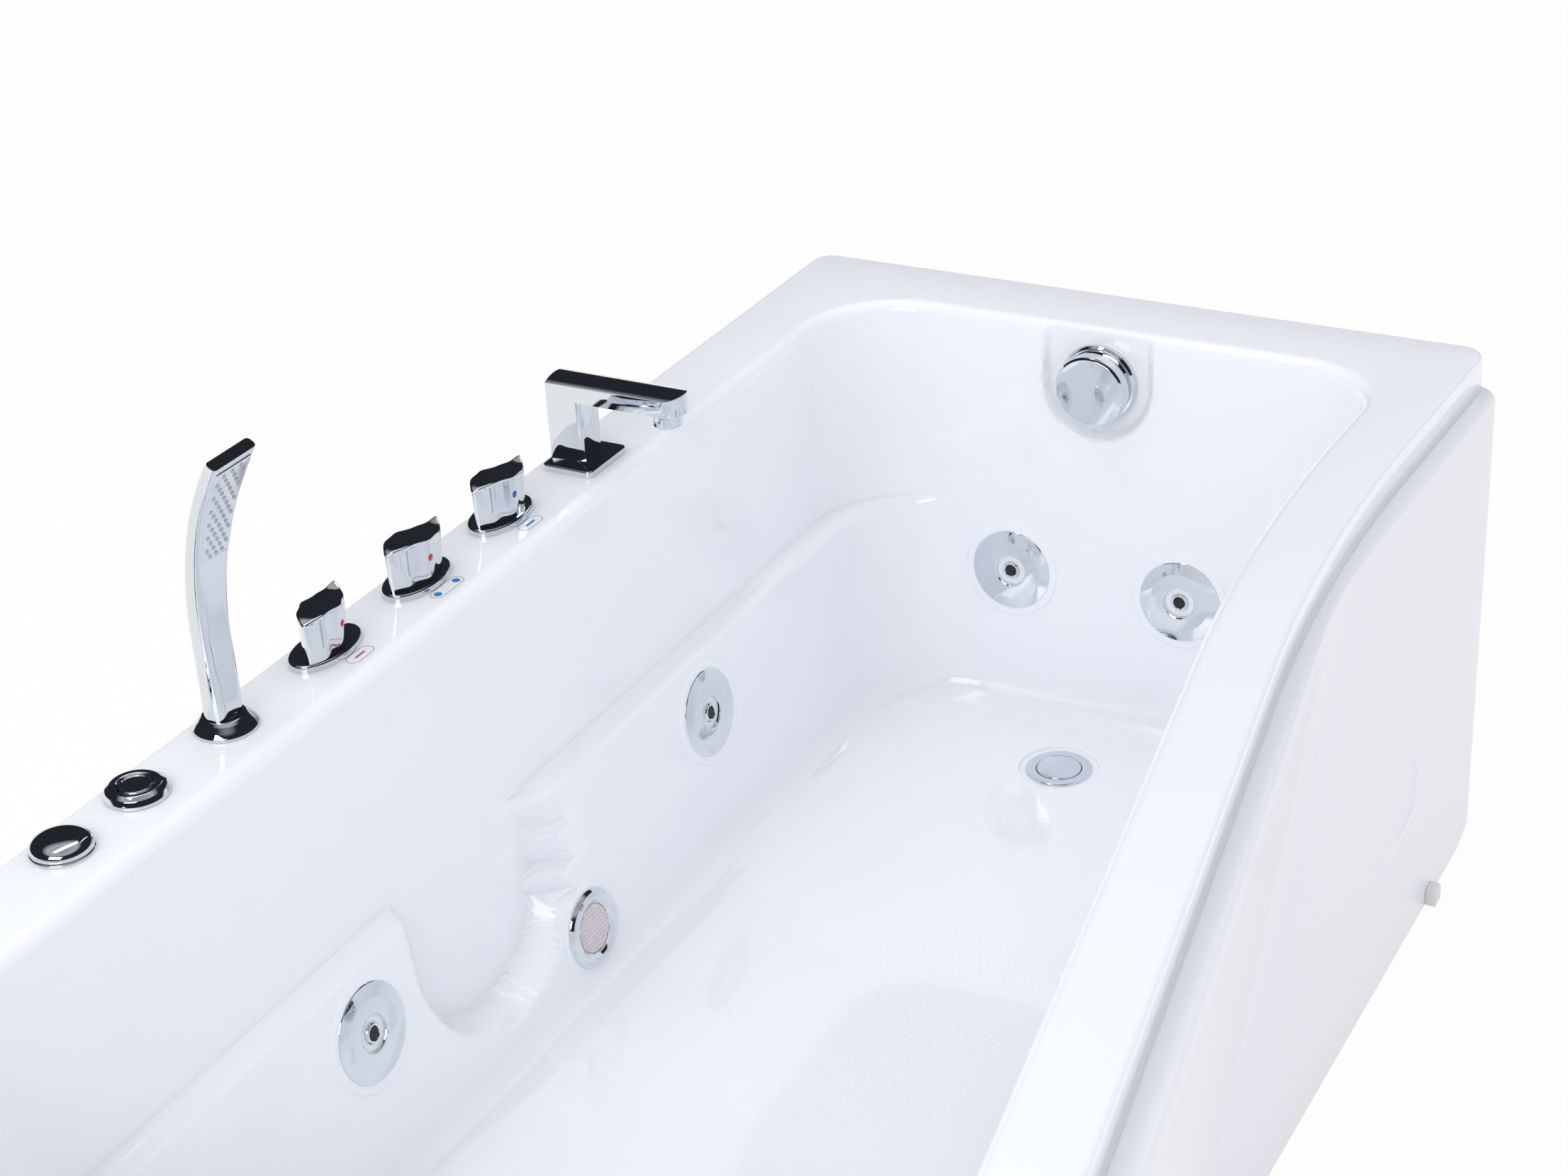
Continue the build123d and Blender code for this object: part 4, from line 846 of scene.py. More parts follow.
    def floor_rings(self, edge: Sequence[Triple], profile: Sequence[Pair], wall: float,
                    count: int) -> list[list[Triple]]:
        """Rings from the drain out to the floor's edge.

        Args:
            edge: The floor's outer ring.
            profile: Radius and height of the rings at the drain, from the hole outwards.
            wall: Zero inside, the shell's thickness outside.
            count: Rings between the drain and the edge.

        Returns:
            The rings from the hole outwards.
        """
        cx, cy = self.drain
        angles = [math.atan2(y - cy, x - cx) for x, y, _ in edge]
        rings = [[(cx + r * math.cos(a), cy + r * math.sin(a), z) for a in angles] for r, z in profile]
        inner = rings[-1]
        level = self.floor_height - wall
        for t in spread(0.0, 1.0, count + 2)[1:-1]:
            rings.append([self.relief((p[0] + (q[0] - p[0]) * t, p[1] + (q[1] - p[1]) * t, level), wall)
                          for p, q in zip(inner, edge)])
        return rings

    def build(self) -> None:
        """Make the shell as one closed piece."""
        inner, outer = self.basin_rings(0.0), self.basin_rings(self.wall)
        top, low = self.floor_height, self.floor_height - self.dish_depth
        dish = soften([(self.hole, low - 2), (self.hole, low), (self.dish, low), (self.dish, top),
                       (self.dish + self.dish_border, top)], self.dish_round)
        dish[0] = (self.hole, self.boss_under + 1)
        under = [(self.hole, self.boss_under), (self.boss, self.boss_under),
                 (self.boss, top - self.wall)]
        rings = self.floor_rings(inner[0], dish, 0.0, 22) + inner
        rim = [(0.0, 0.0)]
        for a in spread(0.0, math.pi / 2, 7):
            rim.append((self.edge_round * (1 - math.sin(a)),
                        self.rim_height - self.edge_round * (1 - math.cos(a))))
        foot, edge = self.rim_height - self.lip, self.lip_edge
        rim = rim[1:] + [(0.0, foot + edge), (edge, foot), (self.wall, foot),
                         (self.wall, self.rim_height - self.wall)]
        for inset, height in rim:
            edges = shift_edges(self.rim_points, [inset] * 5)
            ring = self.outline(edges, [r - inset for r in self.rim_radii])
            rings.append([(x, y, height) for x, y in ring])
        rings += outer[::-1]
        rings += self.floor_rings(outer[0], under, self.wall, 4)[::-1]
        shape = Shape("tub_shell_skin")
        shape.stack([shape.ring(r) for r in rings], loop=True)
        put(shape.mesh(CREASE_ANGLE), shape.name, ACRYLIC, stands_for=["tub_shell"])


@dataclass
class FrontPanel:
    """The acrylic skirt with its flared head end and the curved rib."""

    length: float = 1830.0
    top: float = 547.7
    back: float = 738.0
    thick: float = 4.0
    flange: float = 46.0
    edge: float = 8.0
    corner: float = 30.0
    head_corner: float = 110.0
    bends: Pair = (900.0, 60.0)
    drain_y: float = 817.0
    bend_top: Pair = (500.0, 804.0)
    bend_foot: Pair = (935.0, 817.0)
    head_top: float = 1035.6
    head_foot: float = 967.0
    raised: float = 22.0
    raised_run: float = 90.0
    face_rows: tuple[float, ...] = (0.0, 6.0, 24.0, 60.0, 120.0, 200.0, 280.0, 360.0, 440.0, 500.0)
    inside_rows: tuple[float, ...] = (440.0, 280.0, 120.0, 24.0, 0.0)
    rib_line: tuple[Pair, ...] = (
        (-264, 246), (-250, 226), (-241, 204), (-239, 190), (-243, 176), (-252, 167), (-268, 160),
        (-287, 155.5), (-307, 153), (-332, 152.5), (-356, 152.5), (-384, 151))
    rib_width: float = 15.0
    rib_height: float = 3.6
    rib_sink: float = 0.4
    rib_taper: float = 0.55
    rib_dome: float = 1.3
    rib_rows: int = 49
    rib_columns: int = 11

    def corners(self, height: float, inset: float) -> list[Pair]:
        """Plan corners of the panel at one height.

        Args:
            height: Height above the room's floor.
            inset: How far the outer edges move in.

        Returns:
            The corners from the drain end to the head end.
        """
        share = 1.0 - height / self.top
        bend = [a + (b - a) * share for a, b in zip(self.bend_top, self.bend_foot)]
        head = self.head_top + (self.head_foot - self.head_top) * share
        points = [(0.0, -self.back), (0.0, -self.drain_y), (-bend[0], -bend[1]),
                  (-self.length, -head), (-self.length, -self.back)]
        return shift_edges(points, [inset] * 4 + [0.0])

    def row(self, height: float, inset: float) -> list[Triple]:
        """One line of points along the panel.

        Args:
            height: Height above the room's floor.
            inset: How far the line lies inside the panel's face.

        Returns:
            The points from the drain end to the head end.
        """
        share = 1.0 - height / self.top
        bend = self.bends[0] + (self.bends[1] - self.bends[0]) * share
        radii = [0.0, max(self.corner - inset, 2.0), bend, self.head_corner - inset, 0.0]
        stops = [spread(0.3, 0.9, 3), spread(0.04, 0.96, 24), spread(0.04, 0.96, 24), spread(0.1, 0.9, 8)]
        path = rounded_path(self.corners(height, inset), radii, stops, (1, 10, 12, 14, 1), closed=False)
        return [(x, y, max(height, self.raised * ease(1 + x / self.raised_run) ** 2)) for x, y in path]

    def build(self) -> None:
        """Make the panel and its rib."""
        under = self.top - self.thick
        section = [(0.0, z) for z in (*self.face_rows, self.top - self.edge)]
        for a in spread(0.0, math.pi / 2, 8)[1:]:
            section.append((self.edge * (1 - math.cos(a)), self.top - self.edge * (1 - math.sin(a))))
        section += [(self.flange, self.top), (self.flange, under)]
        section += [(self.thick, z) for z in (under, *self.inside_rows)]
        shape = Shape("front_panel_skin")
        rows = [shape.ring(self.row(z, inset)) for inset, z in section]
        shape.stack(rows, closed=False, loop=True)
        shape.lid([row[0] for row in rows])
        shape.lid([row[-1] for row in rows])
        # The panel's darker colour is partly painted shade.
        put(shape.mesh(CREASE_ANGLE), shape.name, SHADED_PANEL_ACRYLIC, stands_for=["front_panel"])
        self.build_rib()

    def face_y(self, x: float, z: float) -> float:
        """The panel's outer face near the drain end."""
        _, a, b, _, _ = self.corners(z, 0.0)
        return a[1] + (b[1] - a[1]) * (x - a[0]) / (b[0] - a[0])

    def build_rib(self) -> None:
        """Sweep the rib's low dome along its line, thinned at both ends."""
        shape = Shape("panel_rib")
        line = [Vector(p) for p in self.rib_line]
        rings = []
        for t in spread(0.0, 1.0, self.rib_rows):
            at = t * (len(line) - 1)
            k = min(int(at), len(line) - 2)
            before, after = line[max(k - 1, 0)], line[min(k + 2, len(line) - 1)]
            f = at - k
            here = line[k].lerp(line[k + 1], f)
            tangent = (line[k + 1] - before).lerp(after - line[k], f).normalized()
            side = Vector((-tangent.y, tangent.x))
            full = max(math.sin(math.pi * t), 0.02) ** self.rib_taper
            ring = []
            for s in spread(-1.0, 1.0, self.rib_columns):
                p = here + side * (s * self.rib_width / 2 * full)
                lift = self.rib_height * full * math.cos(s * math.pi / 2) ** self.rib_dome
                ring.append((p.x, self.face_y(p.x, p.y) + self.rib_sink - lift, p.y))
            rings.append(shape.ring(ring))
        shape.stack(rings, closed=False)
        shape.stack([[r[0] for r in rings], [r[-1] for r in rings]], closed=False)
        shape.lid(rings[0])
        shape.lid(rings[-1])
        # Lighter than the panel: a painted highlight.
        put(shape.mesh(), shape.name, RIB_PAINTED_HIGHLIGHT)


# Deck fittings

@dataclass
class Taps:
    """Three winged knobs on oval plates, with coloured buttons."""

    places: tuple[tuple[str, float, float, Finish], ...] = (
        ("hot", 1035.0, 17.0, RED), ("diverter", 891.0, 0.0, RED), ("cold", 747.0, 0.0, BLUE))
    plate: Pair = (44.0, 25.5)
    plate_thick: float = 7.0
    plate_edge: float = 2.2
    plate_dome: float = 0.5
    plate_crown: float = 0.4
    plate_bore: float = 11.3
    gap: float = 0.5
    hub: float = 19.6
    back: float = 0.82
    reach: Pair = (39.0, 42.0)
    waist: float = 0.92
    leaf: float = 1.45
    flute: float = 1.1
    flutes: int = 8
    edge: float = 1.2
    wave: tuple[Pair, ...] = ((-42.0, 40.5), (-37.0, 43.2), (-28.0, 45.2), (-15.0, 44.6), (0.0, 42.2),
                              (12.0, 40.0), (24.0, 38.3), (34.0, 38.6), (42.0, 43.5))
    mark: float = 3.6
    mark_height: float = 23.0
    mark_dome: tuple[Pair, ...] = ((1.0, -2.0), (1.0, 0.2), (0.92, 0.7), (0.6, 1.3), (0.0, 1.6))
    segments: int = 120

    def build(self) -> None:
        """Make plates, knobs and buttons."""
        plates = Shape("knob_plates_oval")
        for name, x, turn, colour in self.places:
            self.add_plate(plates, deck_seat(x))
            seat = deck_seat(x, self.plate_thick, turn)
            self.build_knob(name, seat)
            self.build_mark(name, seat, colour)
        put(plates.mesh(), plates.name, CHROME, stands_for=["knob_plates"])

    def add_plate(self, shape: Shape, seat: Seat) -> None:
        """Add one oval plate with a rounded edge and a low dome.

        Args:
            shape: The shape of all plates.
            seat: Where this plate stands.
        """
        shape.move = seat.matrix()
        wide, narrow = self.plate
        e, t = self.plate_edge, self.plate_thick
        rows = [(0.0, 0.0), (0.0, t - e)]
        rows += [(e * (1 - math.cos(a)), t - e * (1 - math.sin(a)))
                 for a in spread(0.0, math.pi / 2, 6)[1:]]
        rings = [shape.ring(((wide - i) * math.cos(b), (narrow - i) * math.sin(b), z)
                            for b in self.around()) for i, z in rows]
        bore = self.plate_bore
        for share in (0.7, 0.35, 0.0):
            level = min(t + self.plate_dome * (1 - share), t + self.plate_crown)
            rings.append(shape.ring(((bore + (wide - e - bore) * share) * math.cos(b),
                                     (bore + (narrow - e - bore) * share) * math.sin(b), level)
                                    for b in self.around()))
        rings.append(shape.ring((bore * math.cos(b), bore * math.sin(b), 0.0) for b in self.around()))
        shape.stack(rings, loop=True)

    def around(self) -> list[float]:
        """Angles of one ring."""
        return [math.tau * i / self.segments for i in range(self.segments)]

    def outline(self, angle: float, share: float, scale: float = 1.0) -> Pair:
        """A point of the knob's plan: a fluted leaf that narrows a little to the foot.

        Args:
            angle: Angle round the leaf.
            share: Zero at the foot, one at the top.
            scale: Size against the full plan.

        Returns:
            The point along and across the leaf.
        """
        reach = self.reach[0] + (self.reach[1] - self.reach[0]) * share
        side = math.sin(angle)
        hub = self.hub * (self.waist + (1 - self.waist) * share) * (self.back if side > 0 else 1.0)
        half = hub * abs(side)**self.leaf + self.flute * math.cos(self.flutes * angle) * side**2
        return reach * math.cos(angle) * scale, math.copysign(half, side) * scale

    def build_knob(self, name: str, seat: Seat) -> None:
        """Make one knob: upright fluted side, rounded edge and the wave on top.

        Args:
            name: The tap's name.
            seat: The top of its plate.
        """
        shape = Shape(f"{name}_knob_winged", seat)
        gap = self.gap

        def side(angle: float, share: float) -> Triple:
            """A point of the side."""
            x, y = self.outline(angle, share)
            return x, y, gap + (curve_value(self.wave, x) - self.edge - gap) * share

        def top(angle: float, scale: float, drop: float) -> Triple:
            """A point of the top."""
            x, y = self.outline(angle, 1.0, scale)
            return x, y, curve_value(self.wave, x) - drop

        angles = [a + math.pi / self.segments for a in self.around()]
        rings = [shape.ring([(0.0, 0.0, gap)])]
        rings.append(shape.ring((x * 0.5, y * 0.5, gap) for x, y, _ in (side(a, 0.0) for a in angles)))
        rings += [shape.ring(side(a, s) for a in angles) for s in spread(0.0, 1.0, 15)]
        for turn in spread(0.0, math.pi / 2, 5)[1:]:
            inset = self.edge * (1 - math.cos(turn)) / self.hub
            rings.append(shape.ring(top(a, 1 - inset, self.edge * (1 - math.sin(turn))) for a in angles))
        rim = 1 - self.edge / self.hub
        rings += [shape.ring(top(a, s, 0.0) for a in angles) for s in spread(rim, 0.08, 12)[1:]]
        rings.append(shape.ring([(0.0, 0.0, curve_value(self.wave, 0.0))]))
        shape.stack(rings)
        put(shape.mesh(), shape.name, CHROME, f"{name}_knob_body", [f"{name}_knob"])

    def build_mark(self, name: str, seat: Seat, colour: Finish) -> None:
        """Make the domed button in the knob's side.

        Args:
            name: The tap's name.
            seat: The top of its plate.
            colour: Finish of the button.
        """
        move = seat.matrix()
        spot = move @ Vector((0.0, -self.hub, self.mark_height))
        out = move.to_3x3() @ Vector((0.0, -1.0, 0.0))
        shape = Shape(f"{name}_knob_button", Seat(tuple(spot), tuple(out)))
        profile = [(self.mark * share, z) for share, z in self.mark_dome]
        shape.lathe([(0.0, profile[0][1])] + profile, 32)
        put(shape.mesh(), shape.name, colour, f"{name}_knob_body", [f"{name}_knob_mark"])


@dataclass(frozen=True)
class Pill:
    """One pill outline and the colour marks in it: short bars, or dots."""

    name: str
    x: float
    length: float
    colour: Finish
    spots: tuple[float, ...] = (0.0,)
    reach: float = 6.0
    radius: float = 1.4


@dataclass
class DeckMarks:
    """Bare pill outlines with generic colour marks in front of the knobs."""

    line: float = 0.9
    lift: float = 0.12
    deck_y: float = -68.0
    width: float = 15.0
    pills: tuple[Pill, ...] = (
        Pill("hot", 1028.0, 34.0, PRINT_RED),
        Pill("diverter", 889.0, 46.0, PALE_BLUE, (-15.0, 15.0), 0.0, 4.0),
        Pill("cold", 745.0, 34.0, PALE_BLUE))

    @staticmethod
    def stadium(run: float, half: float, count: int, middle: float = 0.0) -> list[Pair]:
        """Points of a pill shape.

        Args:
            run: Half the length of its straight sides.
            half: Half its width.
            count: Number of points.
            middle: Where its middle lies along the deck.

        Returns:
            The points in order.
        """
        angles = [math.tau * (i + 0.5) / count for i in range(count)]
        return [(middle + math.copysign(run, math.cos(a)) + half * math.cos(a), half * math.sin(a))
                for a in angles]

    def build(self) -> None:
        """Print the outlines and the marks."""
        outlines = Shape("pill_outlines")
        half = self.width / 2
        for pill in self.pills:
            outlines.move = Matrix.Translation((-pill.x, self.deck_y, DECK_HEIGHT))
            run = pill.length / 2 - half
            rows = [outlines.ring((px, py, z) for px, py in self.stadium(run, h, 64))
                    for h, z in ((half, 0.0), (half, self.lift), (half - self.line, self.lift),
                                 (half - self.line, 0.0))]
            outlines.stack(rows, loop=True)
            marks = Shape(f"{pill.name}_pill_marks")
            marks.move = outlines.move
            for spot in pill.spots:
                ring = self.stadium(pill.reach, pill.radius, 32, spot)
                low, high = marks.ring((*p, 0.0) for p in ring), marks.ring((*p, self.lift) for p in ring)
                marks.band(low, high)
                marks.lid(low)
                marks.lid(high)
            put(marks.mesh(), marks.name, pill.colour)
        put(outlines.mesh(), outlines.name, PRINT_GREY)


@dataclass
class HandShower:
    """The curved hand shower, its spray plate with rubber nubs and its collar."""

    x: float = 1179.0
    foot: Pair = (36.0, 24.0)
    waist: Pair = (38.0, 20.0)
    head: Pair = (58.0, 12.0)
    height: float = 268.0
    bend_start: float = 88.0
    lean: float = 53.0
    low: float = 14.3
    plug: tuple[Pair, ...] = ((0.0, -12.0), (10.6, -12.0), (11.0, -11.0))
    corner: float = 0.78
    ends: Pair = (0.8, 0.7)
    steps: int = 40
    spray: float = 92.0
    spray_margin: float = 6.0
    spray_border: float = 5.0
    spray_end: float = 1.2
    spray_depth: Pair = (-0.8, 1.1)
    spray_rows: int = 25
    nub: Pair = (2.2, 1.7)
    nub_rows: int = 13
    nub_margin: Pair = (10.5, 5.0)
    nub_depth: float = 0.9
    collar: tuple[Pair, ...] = ((11.05, -60), (13.5, -60), (13.5, 0), (29, 0), (29, 3), (26, 6.5),
                                (22, 11), (19, 14), (11.05, 14))

    def line(self, rise: float) -> Pair:
        """Lean and tilt of the centre line.

        Args:
            rise: Height above the deck.

        Returns:
            The lean in millimetres and the tilt in radians.
        """
        if rise <= self.bend_start:
            return 0.0, 0.0
        bend = self.height - self.bend_start
        radius = (bend**2 + self.lean**2) / (2 * self.lean)
        tilt = math.asin((rise - self.bend_start) / radius)
        return radius * (1 - math.cos(tilt)), tilt

    def size(self, rise: float) -> Pair:
        """Width and depth at a height."""
        share = rise / self.height
        return (curve_value(((0.0, self.foot[0]), (0.4, self.waist[0]), (1.0, self.head[0])), share),
                curve_value(((0.0, self.foot[1]), (0.4, self.waist[1]), (1.0, self.head[1])), share))

    def at(self, rise: float, across: float, out: float) -> Triple:
        """A point beside the centre line: across the width, and out towards the basin."""
        lean, tilt = self.line(rise)
        return (across, -lean - out * math.cos(tilt), rise - out * math.sin(tilt))

    def section(self, rise: float, inset: float) -> list[Triple]:
        """One rounded section of the body.

        Args:
            rise: Height above the deck.
            inset: How far the section moves in.

        Returns:
            The section's points.
        """
        width, depth = (s - 2 * inset for s in self.size(rise))
        w, d = width / 2, depth / 2
        corner = d * self.corner
        path = rounded_path([(-w, -d), (w, -d), (w, d), (-w, d)], [corner] * 4,
                            [spread(0.1, 0.9, 9), [0.5], spread(0.1, 0.9, 9), [0.5]], [8] * 4)
        return [self.at(rise, a, o) for a, o in path]

    def build(self) -> None:
        """Make body, plate, nubs and collar."""
        seat = deck_seat(self.x)
        body = Shape("hand_shower_curved", seat)
        rings = []
        body.lathe([*self.plug, (self.plug[-1][0], self.low), (0.0, self.low)], 40)
        for k, rise in enumerate(spread(self.low, self.height, self.steps)):
            inset = {0: self.ends[0], self.steps - 1: self.ends[1]}.get(k, 0.0)
            rings.append(body.ring(self.section(rise, inset)))
        body.stack(rings)
        body.lid(rings[0])
        body.lid(rings[-1])
        put(body.mesh(), body.name, CHROME, "hand_shower", ["hand_shower_body"])
        self.build_plate(seat)
        collar = Shape("shower_collar_domed", seat)
        collar.lathe(soften(self.collar, 2.2, closed=True), 72, loop=True)
        put(collar.mesh(), collar.name, CHROME, stands_for=["hand_shower_collar"])

    def build_plate(self, seat: Seat) -> None:
        """Make the spray plate with its border and the staggered nubs.

        Args:
            seat: The shower's seat on the deck.
        """
        plate = Shape("spray_plate_soft", seat)
        top = self.height - self.spray_margin
        bottom = top - self.spray
        rings = []
        for k, rise in enumerate(spread(bottom, top, self.spray_rows)):
            width, depth = self.size(rise)
            end = self.spray_end if k in (0, self.spray_rows - 1) else 0.0
            half = width / 2 - self.spray_border - end
            low, high = depth / 2 + self.spray_depth[0], depth / 2 + self.spray_depth[1] - end * 0.5
            section = soften([(-half, low), (-half, high), (half, high), (half, low)], 0.8, 3)
            rings.append(plate.ring(self.at(rise, a, o) for a, o in section))
        plate.stack(rings)
        plate.lid(rings[0])
        plate.lid(rings[-1])
        put(plate.mesh(), plate.name, SATIN_CHROME, "hand_shower", ["hand_shower_spray_plate"])
        spots, ways = [], []
        move = seat.matrix()
        side, end = self.nub_margin
        for row, rise in enumerate(spread(bottom + end, top - end, self.nub_rows)):
            width, depth = self.size(rise)
            _, tilt = self.line(rise)
            columns, share = (4, 1.0) if row % 2 else (3, 0.66)
            reach = (width / 2 - side) * share
            for across in spread(-reach, reach, columns):
                spots.append(move @ Vector(self.at(rise, across, depth / 2 + self.nub_depth)))
                ways.append(Vector((0.0, -math.cos(tilt), -math.sin(tilt))))
        DotField("shower_nubs", *self.nub, 12).build(spots, ways, NUBS, "hand_shower")


@dataclass(frozen=True)
class DotField:
    """Small domes on many points, made by one node tree; radius and height in millimetres."""

    name: str
    radius: float
    height: float
    sides: int
    rings: int = 6

    @property
    def sizes(self) -> dict[str, float]:
        """The tree's size inputs, in metres."""
        return {"Radius": self.radius * MM, "Height": self.height * MM}

    def tree(self) -> bpy.types.NodeTree:
        """The node tree: a dome on every point, turned to the point's facing.

        Returns:
            The tree, with inputs for points, sizes and finish.
        """
        tree = bpy.data.node_groups.new(f"{self.name}_tree", "GeometryNodeTree")
        face = tree.interface
        face.new_socket(name="Geometry", in_out="INPUT", socket_type="NodeSocketGeometry")
        for name in self.sizes:
            face.new_socket(name=name, in_out="INPUT", socket_type="NodeSocketFloat")
        face.new_socket(name="Finish", in_out="INPUT", socket_type="NodeSocketMaterial")
        face.new_socket(name="Geometry", in_out="OUTPUT", socket_type="NodeSocketGeometry")
        make, join = tree.nodes.new, tree.links.new
        start, end = make("NodeGroupInput"), make("NodeGroupOutput")
        dome = make("GeometryNodeMeshUVSphere")
        dome.inputs["Segments"].default_value = self.sides
        dome.inputs["Rings"].default_value = self.rings
        dome.inputs["Radius"].default_value = 1.0
        size = make("ShaderNodeCombineXYZ")
        for axis, name in zip("XYZ", ("Radius", "Radius", "Height")):
            join(start.outputs[name], size.inputs[axis])
        facing = make("GeometryNodeInputNamedAttribute")
        facing.data_type = "FLOAT_VECTOR"
        facing.inputs["Name"].default_value = "facing"
        turn = make("FunctionNodeAlignRotationToVector")
        turn.axis = "Z"
        join(facing.outputs["Attribute"], turn.inputs["Vector"])
        stand = make("GeometryNodeInstanceOnPoints")
        join(start.outputs["Geometry"], stand.inputs["Points"])
        join(dome.outputs["Mesh"], stand.inputs["Instance"])
        join(turn.outputs["Rotation"], stand.inputs["Rotation"])
        join(size.outputs["Vector"], stand.inputs["Scale"])
        real, paint = make("GeometryNodeRealizeInstances"), make("GeometryNodeSetMaterial")
        join(stand.outputs["Instances"], real.inputs["Geometry"])
        join(real.outputs["Geometry"], paint.inputs["Geometry"])
        join(start.outputs["Finish"], paint.inputs["Material"])
        join(paint.outputs["Geometry"], end.inputs["Geometry"])
        return tree

    def build(self, spots: Sequence[Vector], ways: Sequence[Vector], finish: Finish, body: str) -> None:
        """Stand the domes and keep them as one plain mesh.

        Args:
            spots: Points in the drawing frame.
            ways: The direction each dome faces.
            finish: Finish of the domes.
            body: The CAD body that they move with.
        """
        carrier = bpy.data.meshes.new(f"{self.name}_points")
        carrier.from_pydata([in_frame(p) for p in spots], [], [])
        facing = carrier.attributes.new("facing", "FLOAT_VECTOR", "POINT")
        facing.data.foreach_set("vector", [c for way in ways for c in way])
        holder = bpy.data.objects.new(f"{self.name}_carrier", carrier)
        bpy.context.scene.collection.objects.link(holder)
        tree = self.tree()
        modifier = holder.modifiers.new("domes", "NODES")
        modifier.node_group = tree
        values = {**self.sizes, "Finish": finish.material()}
        for socket in tree.interface.items_tree:
            if socket.in_out == "INPUT" and socket.name in values:
                modifier[socket.identifier] = values[socket.name]
        done = holder.evaluated_get(bpy.context.evaluated_depsgraph_get())
        mesh = bpy.data.meshes.new_from_object(done)
        bpy.data.objects.remove(holder)
        mesh.shade_smooth()
        put(mesh, self.name, finish, body)


@dataclass
class DeckControls:
    """The air button in its ring and the domed air control."""

    button_x: float = 1298.0
    control_x: float = 1391.0
    ring: tuple[Pair, ...] = ((3, -30), (11, -30), (11, 0), (28, 0), (28, 3.4), (26, 8), (21.5, 11),
                              (17.5, 10.4), (15.05, 8.2), (15.05, 2), (3, 2))
    cap: tuple[Pair, ...] = ((0, -20), (2.85, -20), (2.85, 7.4), (14.9, 7.4), (14.9, 9.4), (13.6, 10.4),
                             (12.4, 9.6), (8, 10.3), (0, 10.8))
    base: tuple[Pair, ...] = ((0, -45), (11, -45), (11, 0), (27, 0), (27, 2.4), (26, 3), (5, 3), (5, 9),
                              (0, 9))
    dome_low: float = 3.3
    dome_radius: float = 26.5
    dome_rise: float = 13.0
    dome_side: float = 2.0
    dome_edge: float = 0.8
    dome_bore: Pair = (5.6, 10.0)
    dome_fullness: float = 0.85
    segments: int = 72

    def build(self) -> None:
        """Make ring, cap, base and dome."""
        ring = Shape("air_button_ring_rounded", deck_seat(self.button_x))
        ring.lathe(soften(self.ring, 2.4, closed=True), self.segments, loop=True)
        put(ring.mesh(), ring.name, CHROME, stands_for=["air_button_ring"])
        cap = Shape("air_button_cap_domed", deck_seat(self.button_x))
        cap.lathe(soften(self.cap, 0.9), self.segments)
        put(cap.mesh(), cap.name, CHROME, "air_button", ["air_button_cap"])
        base = Shape("air_control_base_ring", deck_seat(self.control_x))
        base.lathe(soften(self.base, 0.8), self.segments)
        put(base.mesh(), base.name, CHROME, stands_for=["air_control_base"])
        self.build_dome()

    def build_dome(self) -> None:
        """Make the air control's hollow dome."""
        low, r, edge, side = self.dome_low, self.dome_radius, self.dome_edge, self.dome_side
        bore, roof = self.dome_bore
        dome = [(0.0, roof), (bore, roof), (bore, low), (r - edge, low), (r, low + edge), (r, low + side)]
        dome += [(r * math.cos(a) ** self.dome_fullness, low + side + (self.dome_rise - side) * math.sin(a))
                 for a in spread(0.12, 1.5, 16)]
        knob = Shape("air_control_dome", deck_seat(self.control_x))
        knob.lathe(dome + [(0.0, low + self.dome_rise)], self.segments)
        put(knob.mesh(), knob.name, CHROME, "air_control", ["air_control_knob"])


# Wall fittings

